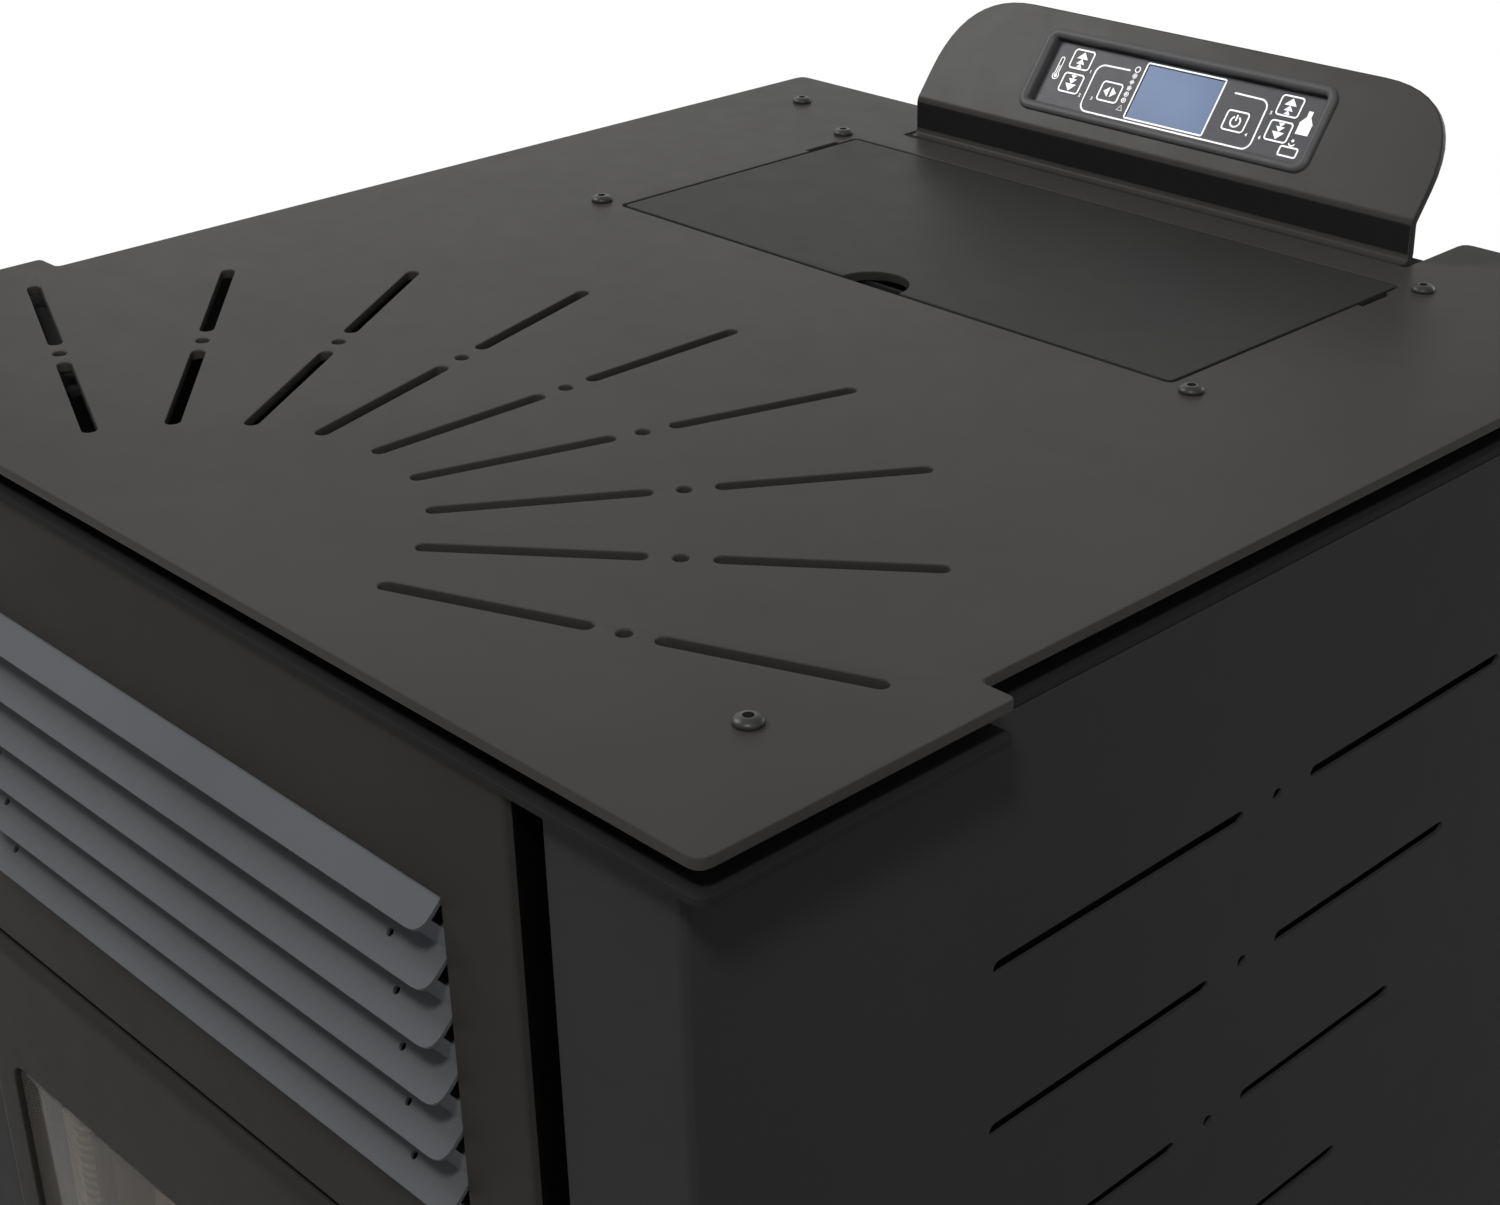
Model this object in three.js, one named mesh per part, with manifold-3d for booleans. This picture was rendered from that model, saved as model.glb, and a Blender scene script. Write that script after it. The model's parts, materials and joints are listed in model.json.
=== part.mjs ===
// A free-standing pellet stove: sheet-metal cabinet, slotted top with a hinged hopper lid and a folded-up
// control console, pressed louvre grille, glazed door, hopper, auger, firebox, fans, ash drawer and flue stub.
// Millimetres, +Z up. x runs left to right seen from the front, y runs from the front edge of the top to the back.
import * as THREE from "three";
import { mergeVertices } from "three/addons/utils/BufferGeometryUtils.js";
import Module from "manifold-3d";

const wasm = await Module();
wasm.setup();

// ---- driving dimensions -------------------------------------------------------------------------------------
const bodyWidth = 524; // across the side panels
const depth = 556; // front edge of the top to its back edge
const height = 950; // floor to the top face of the top plate
const topThickness = 4;
const earOverhang = 14; // how far the front ears of the top stand out past the side panels
const earLength = 120; // front edge to the step
const deckGap = 8; // air gap between the top plate and the deck below it
const deckThickness = 3;
const cornerRadius = 5;
const seat = 0.3; // gap between pieces that touch
const sheet = 2; // folded sheet of the panels

const fanRays = 9;
const fanFirstAngle = 158.2;
const fanStep = 17.06;
const fanCentreY = 2;
const innerSlotStart = 94;
const innerSlotEnd = 169;
const rayHoleRadius = 179.5;
const outerSlotStart = 190;
const outerSlotEnd = 264.5;
const topSlotWidth = 5.4;
const rayHoleDiameter = 5.4;

const lidWidth = 311;
const lidSetback = 214.5; // front edge of the lid ahead of the top's back edge
const lidDepth = 148;
const lidGap = 1.4;
const fingerNotchRadius = 16;
const lidPinFromBack = 20; // hinge axis ahead of the lid's back edge
const lidPinDrop = 8; // hinge axis below the top face
const lidPinDiameter = 3.6;
const hingeNotchLength = 20;
const hingeNotchDepth = 2.4;

const consoleWidth = 284;
const consoleSetback = 38; // front face of the upright flange ahead of the back edge
const consoleRise = 17;
const consoleSlope = 59.5; // length of the leaning face
const consoleLean = 38; // degrees back from upright
const consoleCorner = 43;
const consoleBend = 5;
const windowWidth = 161;
const windowHeight = 35;
const windowUp = 12.5; // lower edge of the display window up the leaning face
const bezelRim = 2.2; // how far the bezel's lip covers the sheet around the window
const bezelWall = 2;

const screwHeadDiameter = 9.5;
const screwShankDiameter = 5;

const fasciaWidth = 388;
const grooveWidth = 8;
const grooveDepth = 24;
const fasciaDrop = 229; // top face down to the lower edge of the fascia
const doorGap = 5;
const grilleWidth = 314;
const bladeCount = 6;
const bladePitch = 21.4;
const firstBladeDrop = 67; // top face down to the first blade's fold
const bladeLength = 13;
const bladeAngle = 45;
const bladeThickness = 1.6;
const bladeCorner = 7;

const sideRows = 7;
const sideRowDrop = 104; // top face down to the first row of side slots
const sideRowPitch = 62.5;
const sideSlotStart = 129;
const sideFrontSlot = 126; // length of the first row's front slot
const sideRearSlot = 121;
const sideSlotShrink = 13.5; // each row is shorter by this much
const sideHoleGap = 19.5; // slot end to hole centre
const sideSlotWidth = 4.6;

const doorBottom = 158;
const doorThickness = 22;
const windowSide = 172; // half width of the door window
const glassSeat = 5; // rebate round the window that the glass lies in
const doorWindowTop = 300; // below the top face
const doorWindowBottom = 292; // above the floor
const glassThickness = 4;
const hingePinX = 183;
const hingePinY = 9;
const hingePinDiameter = 8;
const hingePinLength = 45;
const hingeLug = 6; // height of the lug that carries each pin
const hingeLugDrop = 8; // door top down to the upper lug
const hingeLugLift = 1;

const footHeight = 28;
const footRadius = 20;
const panHeight = 24; // folded edge of the base pan
const shieldGap = 16; // side panel to its heat shield
const drawerGap = 4;

const fireHalf = 162; // opening of the front frame
const fireboxHalf = 168;
const fireboxFront = 38;
const fireboxSetback = 286; // back of the firebox ahead of the top's back edge
const fireboxFloor = 152;
const fireboxTop = 705;
const steel = 3;

const hopperHalf = 140;
const hopperRimInset = 10.5; // lid's front edge to the hopper's rim
const hopperRimDepth = 100;
const hopperSetback = 26; // back of the hopper ahead of the top's back edge
const hopperStandoff = 52; // firebox to the hopper's front

const augerAngle = 45; // degrees up towards the firebox
const augerTubeRadius = 30;
const augerRadius = 24;
const augerPitch = 40;
const augerShaftRadius = 8;
const augerSetback = 94; // low end of the auger ahead of the top's back edge
const augerLowZ = 330;
const augerLength = 284;

const flueDiameter = 80;
const flueX = 24;
const flueZ = 134;
const flueReach = 34; // stub past the back panel
const fanX = 104;
const fanZ = 166;
const volute = 68; // volute radius
const intakeDiameter = 50;
const intakeX = -120;
const intakeZ = 186;
const intakeReach = 20;
const blowerX0 = -232;
const blowerX1 = -66;
const blowerStandoff = 82; // firebox to the axis of the room fan
const blowerZ = 108;
const blowerRadius = 30;

const handleX = 184;
const handleShaftDiameter = 10;
const handleZ = 470;
const handleLength = 150;
const handleReach = 34; // how far the handle stands in front of the top's front edge

// ---- derived places -----------------------------------------------------------------------------------------
const half = bodyWidth / 2;
const deckTop = height - topThickness - deckGap;
const deckBottom = deckTop - deckThickness;
const panelTop = deckBottom - seat;
const panBottom = footHeight + seat;
const panTop = panBottom + panHeight;
const fasciaHalf = fasciaWidth / 2;
const pillarInner = fasciaHalf + grooveWidth;
const fasciaFace = 2; // face of the fascia behind the top's front edge
const pillarFace = 6;
const fasciaBottom = height - fasciaDrop;
const doorTop = fasciaBottom - doorGap;
const drawerTop = doorBottom - drawerGap;
const lidFront = depth - lidSetback;
const lidBack = lidFront + lidDepth;
const lidHalf = lidWidth / 2;
const pinY = lidBack - lidPinFromBack;
const pinZ = height - lidPinDrop;
const backFace = depth - sheet;
const lean = THREE.MathUtils.degToRad(consoleLean);
const consoleFront = depth - consoleSetback;
const fireboxBack = depth - fireboxSetback;
const hopperRimFront = lidFront + hopperRimInset;
const hopperRimBack = hopperRimFront + hopperRimDepth;
const hopperFront = fireboxBack + hopperStandoff;
const hopperBack = depth - hopperSetback;
const augerLowY = depth - augerSetback;
const blowerY = fireboxBack + blowerStandoff;
const frontReach = -handleReach;
const backReach = depth + flueReach;

// ---- materials ----------------------------------------------------------------------------------------------
const finish = (color, roughness, metalness, extra = {}) =>
  new THREE.MeshStandardMaterial({ color, roughness, metalness, ...extra });
const blackPaint = finish(0x3a3936, 0.55, 0.3);
const panelPaint = finish(0x262626, 0.4, 0.2);
const greyPaint = finish(0x66686a, 0.5, 0.4);
const rawSteel = finish(0x8c8d8f, 0.4, 0.9);
const castIron = finish(0x35332f, 0.75, 0.4);
const liner = finish(0x8a7f76, 0.9, 0);
const rubber = finish(0x161616, 0.9, 0);
const plastic = finish(0x1d1d1e, 0.5, 0);
const ropeSeal = finish(0x8c8980, 0.95, 0);
const screen = finish(0x7088b4, 0.2, 0);
const glass = finish(0x6a625c, 0.05, 0, { transparent: true, opacity: 0.4 });

// ---- solid helpers ------------------------------------------------------------------------------------------
function solidOf(geometry) {
  const bare = geometry.index ? geometry.toNonIndexed() : geometry.clone();
  bare.deleteAttribute("normal");
  bare.deleteAttribute("uv");
  const merged = mergeVertices(bare, 1e-3);
  const mesh = new wasm.Mesh({
    numProp: 3,
    vertProperties: new Float32Array(merged.attributes.position.array),
    triVerts: new Uint32Array(merged.index.array),
  });
  return new wasm.Manifold(mesh);
}

function meshOf(name, solid, material) {
  const data = solid.getMesh();
  const geometry = new THREE.BufferGeometry();
  geometry.setAttribute("position", new THREE.BufferAttribute(new Float32Array(data.vertProperties), 3));
  geometry.setIndex(new THREE.BufferAttribute(new Uint32Array(data.triVerts), 1));
  geometry.computeVertexNormals();
  const mesh = new THREE.Mesh(geometry, material);
  mesh.name = name;
  return mesh;
}

const cutAll = (solid, cutters) => cutters.reduce((left, cutter) => left.subtract(cutter), solid);
const joinAll = (solids) => solids.reduce((left, other) => left.add(other));

function block(x0, x1, y0, y1, z0, z1) {
  const geometry = new THREE.BoxGeometry(x1 - x0, y1 - y0, z1 - z0);
  return solidOf(geometry.translate((x0 + x1) / 2, (y0 + y1) / 2, (z0 + z1) / 2));
}

// A round bar between two points.
function bar(radius, from, to, sides = 16, farRadius = radius) {
  const a = new THREE.Vector3(...from);
  const b = new THREE.Vector3(...to);
  const geometry = new THREE.CylinderGeometry(farRadius, radius, a.distanceTo(b), sides);
  geometry.applyQuaternion(
    new THREE.Quaternion().setFromUnitVectors(new THREE.Vector3(0, 1, 0), b.clone().sub(a).normalize()),
  );
  return solidOf(geometry.translate(...a.add(b).multiplyScalar(0.5).toArray()));
}

const tube = (radius, wall, from, to, sides = 20) =>
  bar(radius, from, to, sides).subtract(bar(radius - wall, extend(to, from, 1), extend(from, to, 1), sides));

// The point "by" past "to" on the line from "from".
function extend(from, to, by) {
  const a = new THREE.Vector3(...from);
  const b = new THREE.Vector3(...to);
  return b.add(b.clone().sub(a).normalize().multiplyScalar(by)).toArray();
}

function extrudeZ(shape, z0, z1, curveSegments = 3) {
  const geometry = new THREE.ExtrudeGeometry(shape, { depth: z1 - z0, bevelEnabled: false, curveSegments });
  return solidOf(geometry.translate(0, 0, z0));
}

// A shape drawn in (x, z) and given depth from y0 to y1.
function extrudeY(shape, y0, y1, curveSegments = 3) {
  const geometry = new THREE.ExtrudeGeometry(shape, { depth: y1 - y0, bevelEnabled: false, curveSegments });
  return solidOf(geometry.rotateX(Math.PI / 2).translate(0, y1, 0));
}

// A shape drawn in (y, z) and given width from x0 to x1.
function extrudeX(shape, x0, x1, curveSegments = 3) {
  const geometry = new THREE.ExtrudeGeometry(shape, { depth: x1 - x0, bevelEnabled: false, curveSegments });
  const toYZ = new THREE.Matrix4().makeBasis(
    new THREE.Vector3(0, 1, 0),
    new THREE.Vector3(0, 0, 1),
    new THREE.Vector3(1, 0, 0),
  );
  return solidOf(geometry.applyMatrix4(toYZ).translate(x0, 0, 0));
}

// A closed outline through corners [x, y, radius], each corner rounded by its own radius.
function outline(corners) {
  const shape = new THREE.Shape();
  const count = corners.length;
  corners.forEach(([x, y, radius = 0], i) => {
    const here = new THREE.Vector2(x, y);
    const before = new THREE.Vector2(...corners[(i + count - 1) % count].slice(0, 2));
    const after = new THREE.Vector2(...corners[(i + 1) % count].slice(0, 2));
    const start = here.clone().add(before.sub(here).setLength(radius || 0));
    const end = here.clone().add(after.sub(here).setLength(radius || 0));
    if (i === 0) shape.moveTo(start.x, start.y);
    else shape.lineTo(start.x, start.y);
    if (radius) shape.quadraticCurveTo(x, y, end.x, end.y);
  });
  shape.closePath();
  return shape;
}

const rectangle = (x0, x1, y0, y1, radius = 0) =>
  outline([
    [x0, y0, radius],
    [x1, y0, radius],
    [x1, y1, radius],
    [x0, y1, radius],
  ]);

// A straight slot with round ends between two points.
function slotShape(ax, ay, bx, by, width) {
  const angle = Math.atan2(by - ay, bx - ax);
  const r = width / 2;
  const shape = new THREE.Shape();
  shape.absarc(bx - r * Math.cos(angle), by - r * Math.sin(angle), r, angle - Math.PI / 2, angle + Math.PI / 2);
  shape.absarc(ax + r * Math.cos(angle), ay + r * Math.sin(angle), r, angle + Math.PI / 2, angle + 1.5 * Math.PI);
  shape.closePath();
  return shape;
}

function circleShape(x, y, diameter) {
  const shape = new THREE.Shape();
  shape.absarc(x, y, diameter / 2, 0, 2 * Math.PI);
  return shape;
}

// The section of a folded sheet: a centre line of [u, v] points, each bend rounded, given the sheet's thickness.
function foldedSection(points, bendRadius, thickness, bendSteps = 4) {
  const line = [];
  points.forEach(([u, v], i) => {
    const here = new THREE.Vector2(u, v);
    if (i === 0 || i === points.length - 1) {
      line.push(here);
      return;
    }
    const back = new THREE.Vector2(...points[i - 1]).sub(here).normalize();
    const ahead = new THREE.Vector2(...points[i + 1]).sub(here).normalize();
    const turn = Math.PI - Math.acos(THREE.MathUtils.clamp(back.dot(ahead), -1, 1));
    const reach = (bendRadius + thickness / 2) * Math.tan(turn / 2);
    const from = here.clone().addScaledVector(back, reach);
    const to = here.clone().addScaledVector(ahead, reach);
    const curve = new THREE.QuadraticBezierCurve(from, here, to);
    line.push(...curve.getPoints(bendSteps));
  });
  const left = [];
  const right = [];
  line.forEach((p, i) => {
    const before = line[Math.max(i - 1, 0)];
    const after = line[Math.min(i + 1, line.length - 1)];
    const along = after.clone().sub(before).normalize();
    const normal = new THREE.Vector2(-along.y, along.x).multiplyScalar(thickness / 2);
    left.push(p.clone().add(normal));
    right.push(p.clone().sub(normal));
  });
  return new THREE.Shape([...left, ...right.reverse()]);
}

// Moves a solid drawn flat on the console (x across, y up the slope, z out of it) onto the leaning face.
function onConsole(solid) {
  const out = new THREE.Vector3(0, -Math.cos(lean), Math.sin(lean));
  const up = new THREE.Vector3(0, Math.sin(lean), Math.cos(lean));
  const m = new THREE.Matrix4().makeBasis(new THREE.Vector3(1, 0, 0), up, out);
  m.setPosition(0, consoleFront, height + consoleRise);
  return solid.transform(m.elements);
}

const mirrorX = (solid) => solid.mirror([1, 0, 0]);

// ---- top ----------------------------------------------------------------------------------------------------
function topOutline(backRecess) {
  const ear = half + earOverhang;
  const r = cornerRadius;
  const recessHalf = consoleWidth / 2 + 3;
  const right = [
    [ear, 0, r],
    [ear, earLength, r / 2],
    [half, earLength, r / 2],
    [half, depth, r],
  ];
  const recess = backRecess
    ? [
        [recessHalf, depth, r],
        [recessHalf, backRecess, 1],
      ]
    : [];
  const all = [...right, ...recess];
  return outline([...all, ...all.map(([x, y, radius]) => [-x, y, radius]).reverse()]);
}

function rayCutters(z0, z1) {
  const cutters = [];
  for (let ray = 0; ray < fanRays; ray++) {
    const angle = THREE.MathUtils.degToRad(fanFirstAngle - ray * fanStep);
    const at = (r) => [r * Math.cos(angle), fanCentreY + r * Math.sin(angle)];
    cutters.push(extrudeZ(slotShape(...at(innerSlotStart), ...at(innerSlotEnd), topSlotWidth), z0, z1));
    cutters.push(extrudeZ(slotShape(...at(outerSlotStart), ...at(outerSlotEnd), topSlotWidth), z0, z1));
    cutters.push(extrudeZ(circleShape(...at(rayHoleRadius), rayHoleDiameter), z0, z1, 5));
  }
  return cutters;
}

const screwPlaces = [
  [half - 29, 57],
  [lidHalf + 12, lidFront - 3],
  [lidHalf + 11, lidBack + 2],
  [half - 38, depth - 37],
].flatMap(([x, y]) => [
  [x, y],
  [-x, y],
]);

const screwHoles = (z0, z1) =>
  screwPlaces.map(([x, y]) => bar(screwShankDiameter / 2 + seat, [x, y, z0], [x, y, z1], 8));

function consoleSheet() {
  const t = topThickness;
  const centre = t / 2;
  const foot = [consoleFront - 14, height - centre];
  const knee = [consoleFront + centre, height - centre];
  const elbow = [consoleFront + centre, height + consoleRise - centre * Math.tan(lean / 2)];
  const slope = consoleSlope + centre * Math.tan(lean / 2);
  const tip = [elbow[0] + slope * Math.sin(lean), elbow[1] + slope * Math.cos(lean)];
  const section = foldedSection([foot, knee, elbow, tip], consoleBend - 2, t, 4);
  const w = consoleWidth / 2;
  const folded = extrudeX(section, -w, w);
  const keep = outline([
    [-w, -consoleSlope, 0],
    [w, -consoleSlope, 0],
    [w, consoleSlope, consoleCorner],
    [-w, consoleSlope, consoleCorner],
  ]);
  keep.holes = [];
  const waste = extrudeZ(rectangle(-w - 9, w + 9, 4, consoleSlope + 9), -12, 12).subtract(
    extrudeZ(keep, -13, 13, 12),
  );
  const window = extrudeZ(
    rectangle(-windowWidth / 2, windowWidth / 2, windowUp, windowUp + windowHeight, 3),
    -12,
    12,
  );
  return folded.subtract(onConsole(waste)).subtract(onConsole(window));
}

function topPlate() {
  const under = height - topThickness;
  const plate = extrudeZ(topOutline(consoleFront - 6), under, height);
  const opening = rectangle(-lidHalf - lidGap, lidHalf + lidGap, lidFront - lidGap, lidBack + lidGap, 3);
  const cutters = [...rayCutters(under - 1, height + 1), extrudeZ(opening, under - 1, height + 1)];
  for (const side of [-1, 1]) {
    const near = side * (lidHalf + lidGap - 1);
    const far = side * (lidHalf + lidGap + hingeNotchDepth);
    const [x0, x1] = [Math.min(near, far), Math.max(near, far)];
    cutters.push(block(x0, x1, pinY - hingeNotchLength / 2, pinY + hingeNotchLength / 2, under - 1, height + 1));
  }
  return cutAll(plate.add(consoleSheet()), [...cutters, ...screwHoles(under - 1, height + 1)]);
}

function deck() {
  const plate = extrudeZ(topOutline(0), deckBottom, deckTop);
  const mouth = block(-lidHalf - 4, lidHalf + 4, lidFront - 2, lidBack + 4, deckBottom - 1, deckTop + 1);
  const vent = outline([
    [-grilleWidth / 2, 40, 8],
    [grilleWidth / 2, 40, 8],
    [grilleWidth / 2, 290, 60],
    [-grilleWidth / 2, 290, 60],
  ]);
  const posts = screwPlaces.map(([x, y]) =>
    bar(screwHeadDiameter / 2 + 2, [x, y, deckTop - 1], [x, y, height - topThickness - seat], 8),
  );
  const lugs = [-1, 1].map((side) => {
    const x0 = side * (lidHalf + 4.2);
    const x1 = side * (lidHalf + 7.2);
    const lug = block(Math.min(x0, x1), Math.max(x0, x1), pinY - 6, pinY + 6, deckBottom + 0.5, pinZ + 3.4);
    return lug.subtract(bar(lidPinDiameter / 2 + seat, [x0 - side, pinY, pinZ], [x1 + side, pinY, pinZ], 12));
  });
  const body = cutAll(plate, [mouth, extrudeZ(vent, deckBottom - 1, deckTop + 1, 6)]);
  return cutAll(joinAll([body, ...posts, ...lugs]), screwHoles(deckBottom - 1, height));
}

// A button-head screw with a hex socket, seated on the top plate.
function topScrew() {
  const r = screwHeadDiameter / 2;
  const headHeight = screwHeadDiameter * 0.29;
  const points = [
    [0, -topThickness - deckGap - deckThickness - 4],
    [screwShankDiameter / 2, -topThickness - deckGap - deckThickness - 4],
    [screwShankDiameter / 2, seat],
    [r, seat],
    [r, seat + headHeight * 0.3],
    [r * 0.86, seat + headHeight * 0.72],
    [r * 0.58, seat + headHeight],
    [0, seat + headHeight],
  ].map(([x, y]) => new THREE.Vector2(x, y));
  const body = solidOf(new THREE.LatheGeometry(points, 12).rotateX(Math.PI / 2));
  return body.subtract(bar(r * 0.34, [0, 0, seat + 0.7], [0, 0, seat + headHeight + 1], 6));
}

// ---- lid ----------------------------------------------------------------------------------------------------
function hopperLid() {
  const under = height - topThickness;
  const plate = extrudeZ(rectangle(-lidHalf, lidHalf, lidFront, lidBack, 2.5), under, height);
  const notch = extrudeZ(circleShape(0, lidFront, 2 * fingerNotchRadius), under - 1, height + 1, 12);
  const ears = [-1, 1].map((side) => {
    const x0 = side * (lidHalf - 4);
    const x1 = side * (lidHalf - 1);
    const [a, b] = [Math.min(x0, x1), Math.max(x0, x1)];
    const web = block(a, b, pinY - 4.5, pinY + 4.5, pinZ, under + 0.5);
    const eye = bar(4.5, [a, pinY, pinZ], [b, pinY, pinZ], 14);
    const pin = bar(lidPinDiameter / 2, [side * (lidHalf - 3), pinY, pinZ], [side * (lidHalf + 8), pinY, pinZ], 12);
    return joinAll([web, eye, pin]);
  });
  return joinAll([plate.subtract(notch), ...ears]);
}

// ---- console parts ------------------------------------------------------------------------------------------
const keyTravel = 0.5;
const keyWidth = 12.6;
const keyHeight = 10.4;
const keyPlaces = {
  key_heat_up: [-59.4, 38.4],
  key_heat_down: [-59.4, 26.2],
  key_set: [-36, 26.2],
  key_power: [36, 26.2],
  key_fan_up: [59.4, 38.4],
  key_fan_down: [59.4, 26.2],
};
const faceDepth = -2.4; // keypad face behind the console's face
const keypadDepth = 14;
const keyGap = 0.25;
const keyThickness = 1.6;
const screenWidth = 43;
const screenHeight = 26.6;
const screenUp = 16.4;
const screenThickness = 2;

function consoleBezel() {
  const w = windowWidth / 2;
  const high = windowUp + windowHeight;
  const lip = extrudeZ(rectangle(-w - bezelRim, w + bezelRim, windowUp - bezelRim, high + bezelRim, 6), seat, 2.4, 4);
  const sleeveShape = rectangle(-w + seat, w - seat, windowUp + seat, high - seat, 2.7);
  const sleeve = extrudeZ(sleeveShape, -topThickness - 7, seat + 1);
  const inner = rectangle(-w + bezelWall, w - bezelWall, windowUp + bezelWall, high - bezelWall, 2);
  return onConsole(lip.add(sleeve).subtract(extrudeZ(inner, -20, 20)));
}

// The printed panel, with the shallow well under each key and behind the display.
function keypad() {
  const w = windowWidth / 2 - bezelWall - seat;
  const low = windowUp + bezelWall + seat;
  const high = windowUp + windowHeight - bezelWall - seat;
  const body = extrudeZ(rectangle(-w, w, low, high, 1.8), faceDepth - keypadDepth, faceDepth);
  const halfWidth = keyWidth / 2 + keyGap;
  const halfHeight = keyHeight / 2 + keyGap;
  const wells = Object.values(keyPlaces).map(([x, y]) =>
    extrudeZ(
      rectangle(x - halfWidth, x + halfWidth, y - halfHeight, y + halfHeight, 1.8),
      faceDepth - keyThickness - keyTravel - seat,
      faceDepth + 1,
      2,
    ),
  );
  const s = screenWidth / 2 + seat;
  const screenWell = rectangle(-s, s, screenUp - seat, screenUp + screenHeight + seat);
  wells.push(extrudeZ(screenWell, faceDepth - screenThickness - 2 * seat, faceDepth + 1));
  return onConsole(cutAll(body, wells));
}

function key([x, y]) {
  const w = keyWidth / 2;
  const h = keyHeight / 2;
  return onConsole(extrudeZ(rectangle(x - w, x + w, y - h, y + h, 1.6), faceDepth - keyThickness, faceDepth, 2));
}

function displayScreen() {
  const s = screenWidth / 2;
  const shape = rectangle(-s, s, screenUp, screenUp + screenHeight);
  return onConsole(extrudeZ(shape, faceDepth - seat - screenThickness, faceDepth - seat));
}

// ---- cabinet ------------------------------------------------------------------------------------------------
function sideSlots(x0, x1) {
  const cutters = [];
  for (let row = 0; row < sideRows; row++) {
    const z = height - sideRowDrop - row * sideRowPitch;
    const frontEnd = sideSlotStart + sideFrontSlot - row * sideSlotShrink;
    const holeAt = frontEnd + sideHoleGap;
    const rearStart = holeAt + sideHoleGap;
    const rearEnd = rearStart + sideRearSlot - row * sideSlotShrink;
    cutters.push(extrudeX(slotShape(sideSlotStart, z, frontEnd, z, sideSlotWidth), x0, x1));
    cutters.push(extrudeX(slotShape(rearStart, z, rearEnd, z, sideSlotWidth), x0, x1));
    cutters.push(extrudeX(circleShape(holeAt, z, sideSlotWidth), x0, x1, 5));
  }
  return cutters;
}

// Right side panel: one sheet folded round the front corner into the pillar, with a return into the groove.
function sidePanel() {
  const c = sheet / 2;
  const line = [
    [pillarInner + c, pillarFace + grooveDepth],
    [pillarInner + c, pillarFace + c],
    [half - c, pillarFace + c],
    [half - c, backFace - seat - c],
    [half - 22, backFace - seat - c],
  ];
  const section = foldedSection(line, 1.5, sheet, 3);
  return cutAll(extrudeZ(section, panBottom + 8, panelTop), sideSlots(half - sheet - 3, half + 3));
}

function basePan() {
  const inset = sheet + seat;
  const x = half - inset;
  const y0 = pillarFace + grooveDepth + 5;
  const y1 = backFace - sheet - 2 * seat - 1.5;
  const outer = block(-x, x, y0, y1, panBottom, panTop);
  const inner = block(-x + sheet, x - sheet, y0 + sheet, y1 - sheet, panBottom + sheet, panTop + 1);
  const rails = [-1, 1].map((side) => drawerRail(side, y0 + 1));
  const vents = [-150, -100, -50, 50, 100, 150].map((vx) =>
    extrudeZ(slotShape(vx, depth - 136, vx, depth - 56, 12), panBottom - 1, panBottom + sheet + 1),
  );
  const holes = footPlaces.map(([fx, fy]) => bar(5 + seat, [fx, fy, panBottom - 1], [fx, fy, panBottom + 5], 12));
  return joinAll([cutAll(outer, [inner, ...vents, ...holes]), ...rails]);
}

// The angle the ash drawer slides on, welded to the pan.
function drawerRail(side, y0) {
  const z0 = panBottom + sheet / 2;
  const web = railHalf + sheet;
  const upright = block(Math.min(side * railHalf, side * web), Math.max(side * railHalf, side * web), y0, fireboxBack - 2, z0, panTop + 30);
  const ledgeEnd = side * (railHalf - 16);
  const ledge = block(Math.min(ledgeEnd, side * web), Math.max(ledgeEnd, side * web), y0, fireboxBack - 2, panTop + 2.4, panTop + 4.7);
  return upright.add(ledge);
}

const footPlaces = [
  [-half + 46, 74],
  [half - 46, 74],
  [-half + 46, depth - 50],
  [half - 46, depth - 50],
];

function foot([x, y]) {
  const points = [
    [0, 0],
    [footRadius, 0],
    [footRadius, 7],
    [footRadius * 0.7, 12],
    [10, 14],
    [10, footHeight],
    [5, footHeight],
    [5, footHeight + 16],
    [0, footHeight + 16],
  ].map(([r, z]) => new THREE.Vector2(r, z));
  return solidOf(new THREE.LatheGeometry(points, 14).rotateX(Math.PI / 2)).translate([x, y, 0]);
}

// The thin sheet that keeps the heat off each side panel; its foot stands on the pan.
function heatShield() {
  const x = half - sheet - shieldGap;
  const y0 = pillarFace + grooveDepth + 30;
  const y1 = backFace - 16;
  const z = panBottom + sheet + seat;
  const line = [
    [x + 11, z + 0.5],
    [x, z + 0.5],
    [x, panelTop - 30],
  ];
  const section = extrudeY(foldedSection(line, 1, 1, 3), y0, y1);
  return section;
}

function backPanel() {
  const panel = block(-half + 1, half - 1, backFace, depth, panBottom + 4, panelTop);
  const y0 = backFace - 3;
  const y1 = depth + 3;
  const flueHole = bar(flueDiameter / 2 + 1.5, [flueX, y0, flueZ], [flueX, y1, flueZ], 28);
  const intakeHole = bar(intakeDiameter / 2 + 1.5, [intakeX, y0, intakeZ], [intakeX, y1, intakeZ], 24);
  const inletHole = block(inletX - 24, inletX + 24, y0, y1, inletZ - 14, inletZ + 14);
  const cutters = [flueHole, intakeHole, inletHole];
  for (let row = 0; row < 5; row++) {
    for (const x of [-110, 110]) {
      const z = 640 + row * 34;
      cutters.push(extrudeY(slotShape(x - 60, z, x + 60, z, 7), y0, y1));
    }
  }
  return cutAll(panel, cutters);
}

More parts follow.
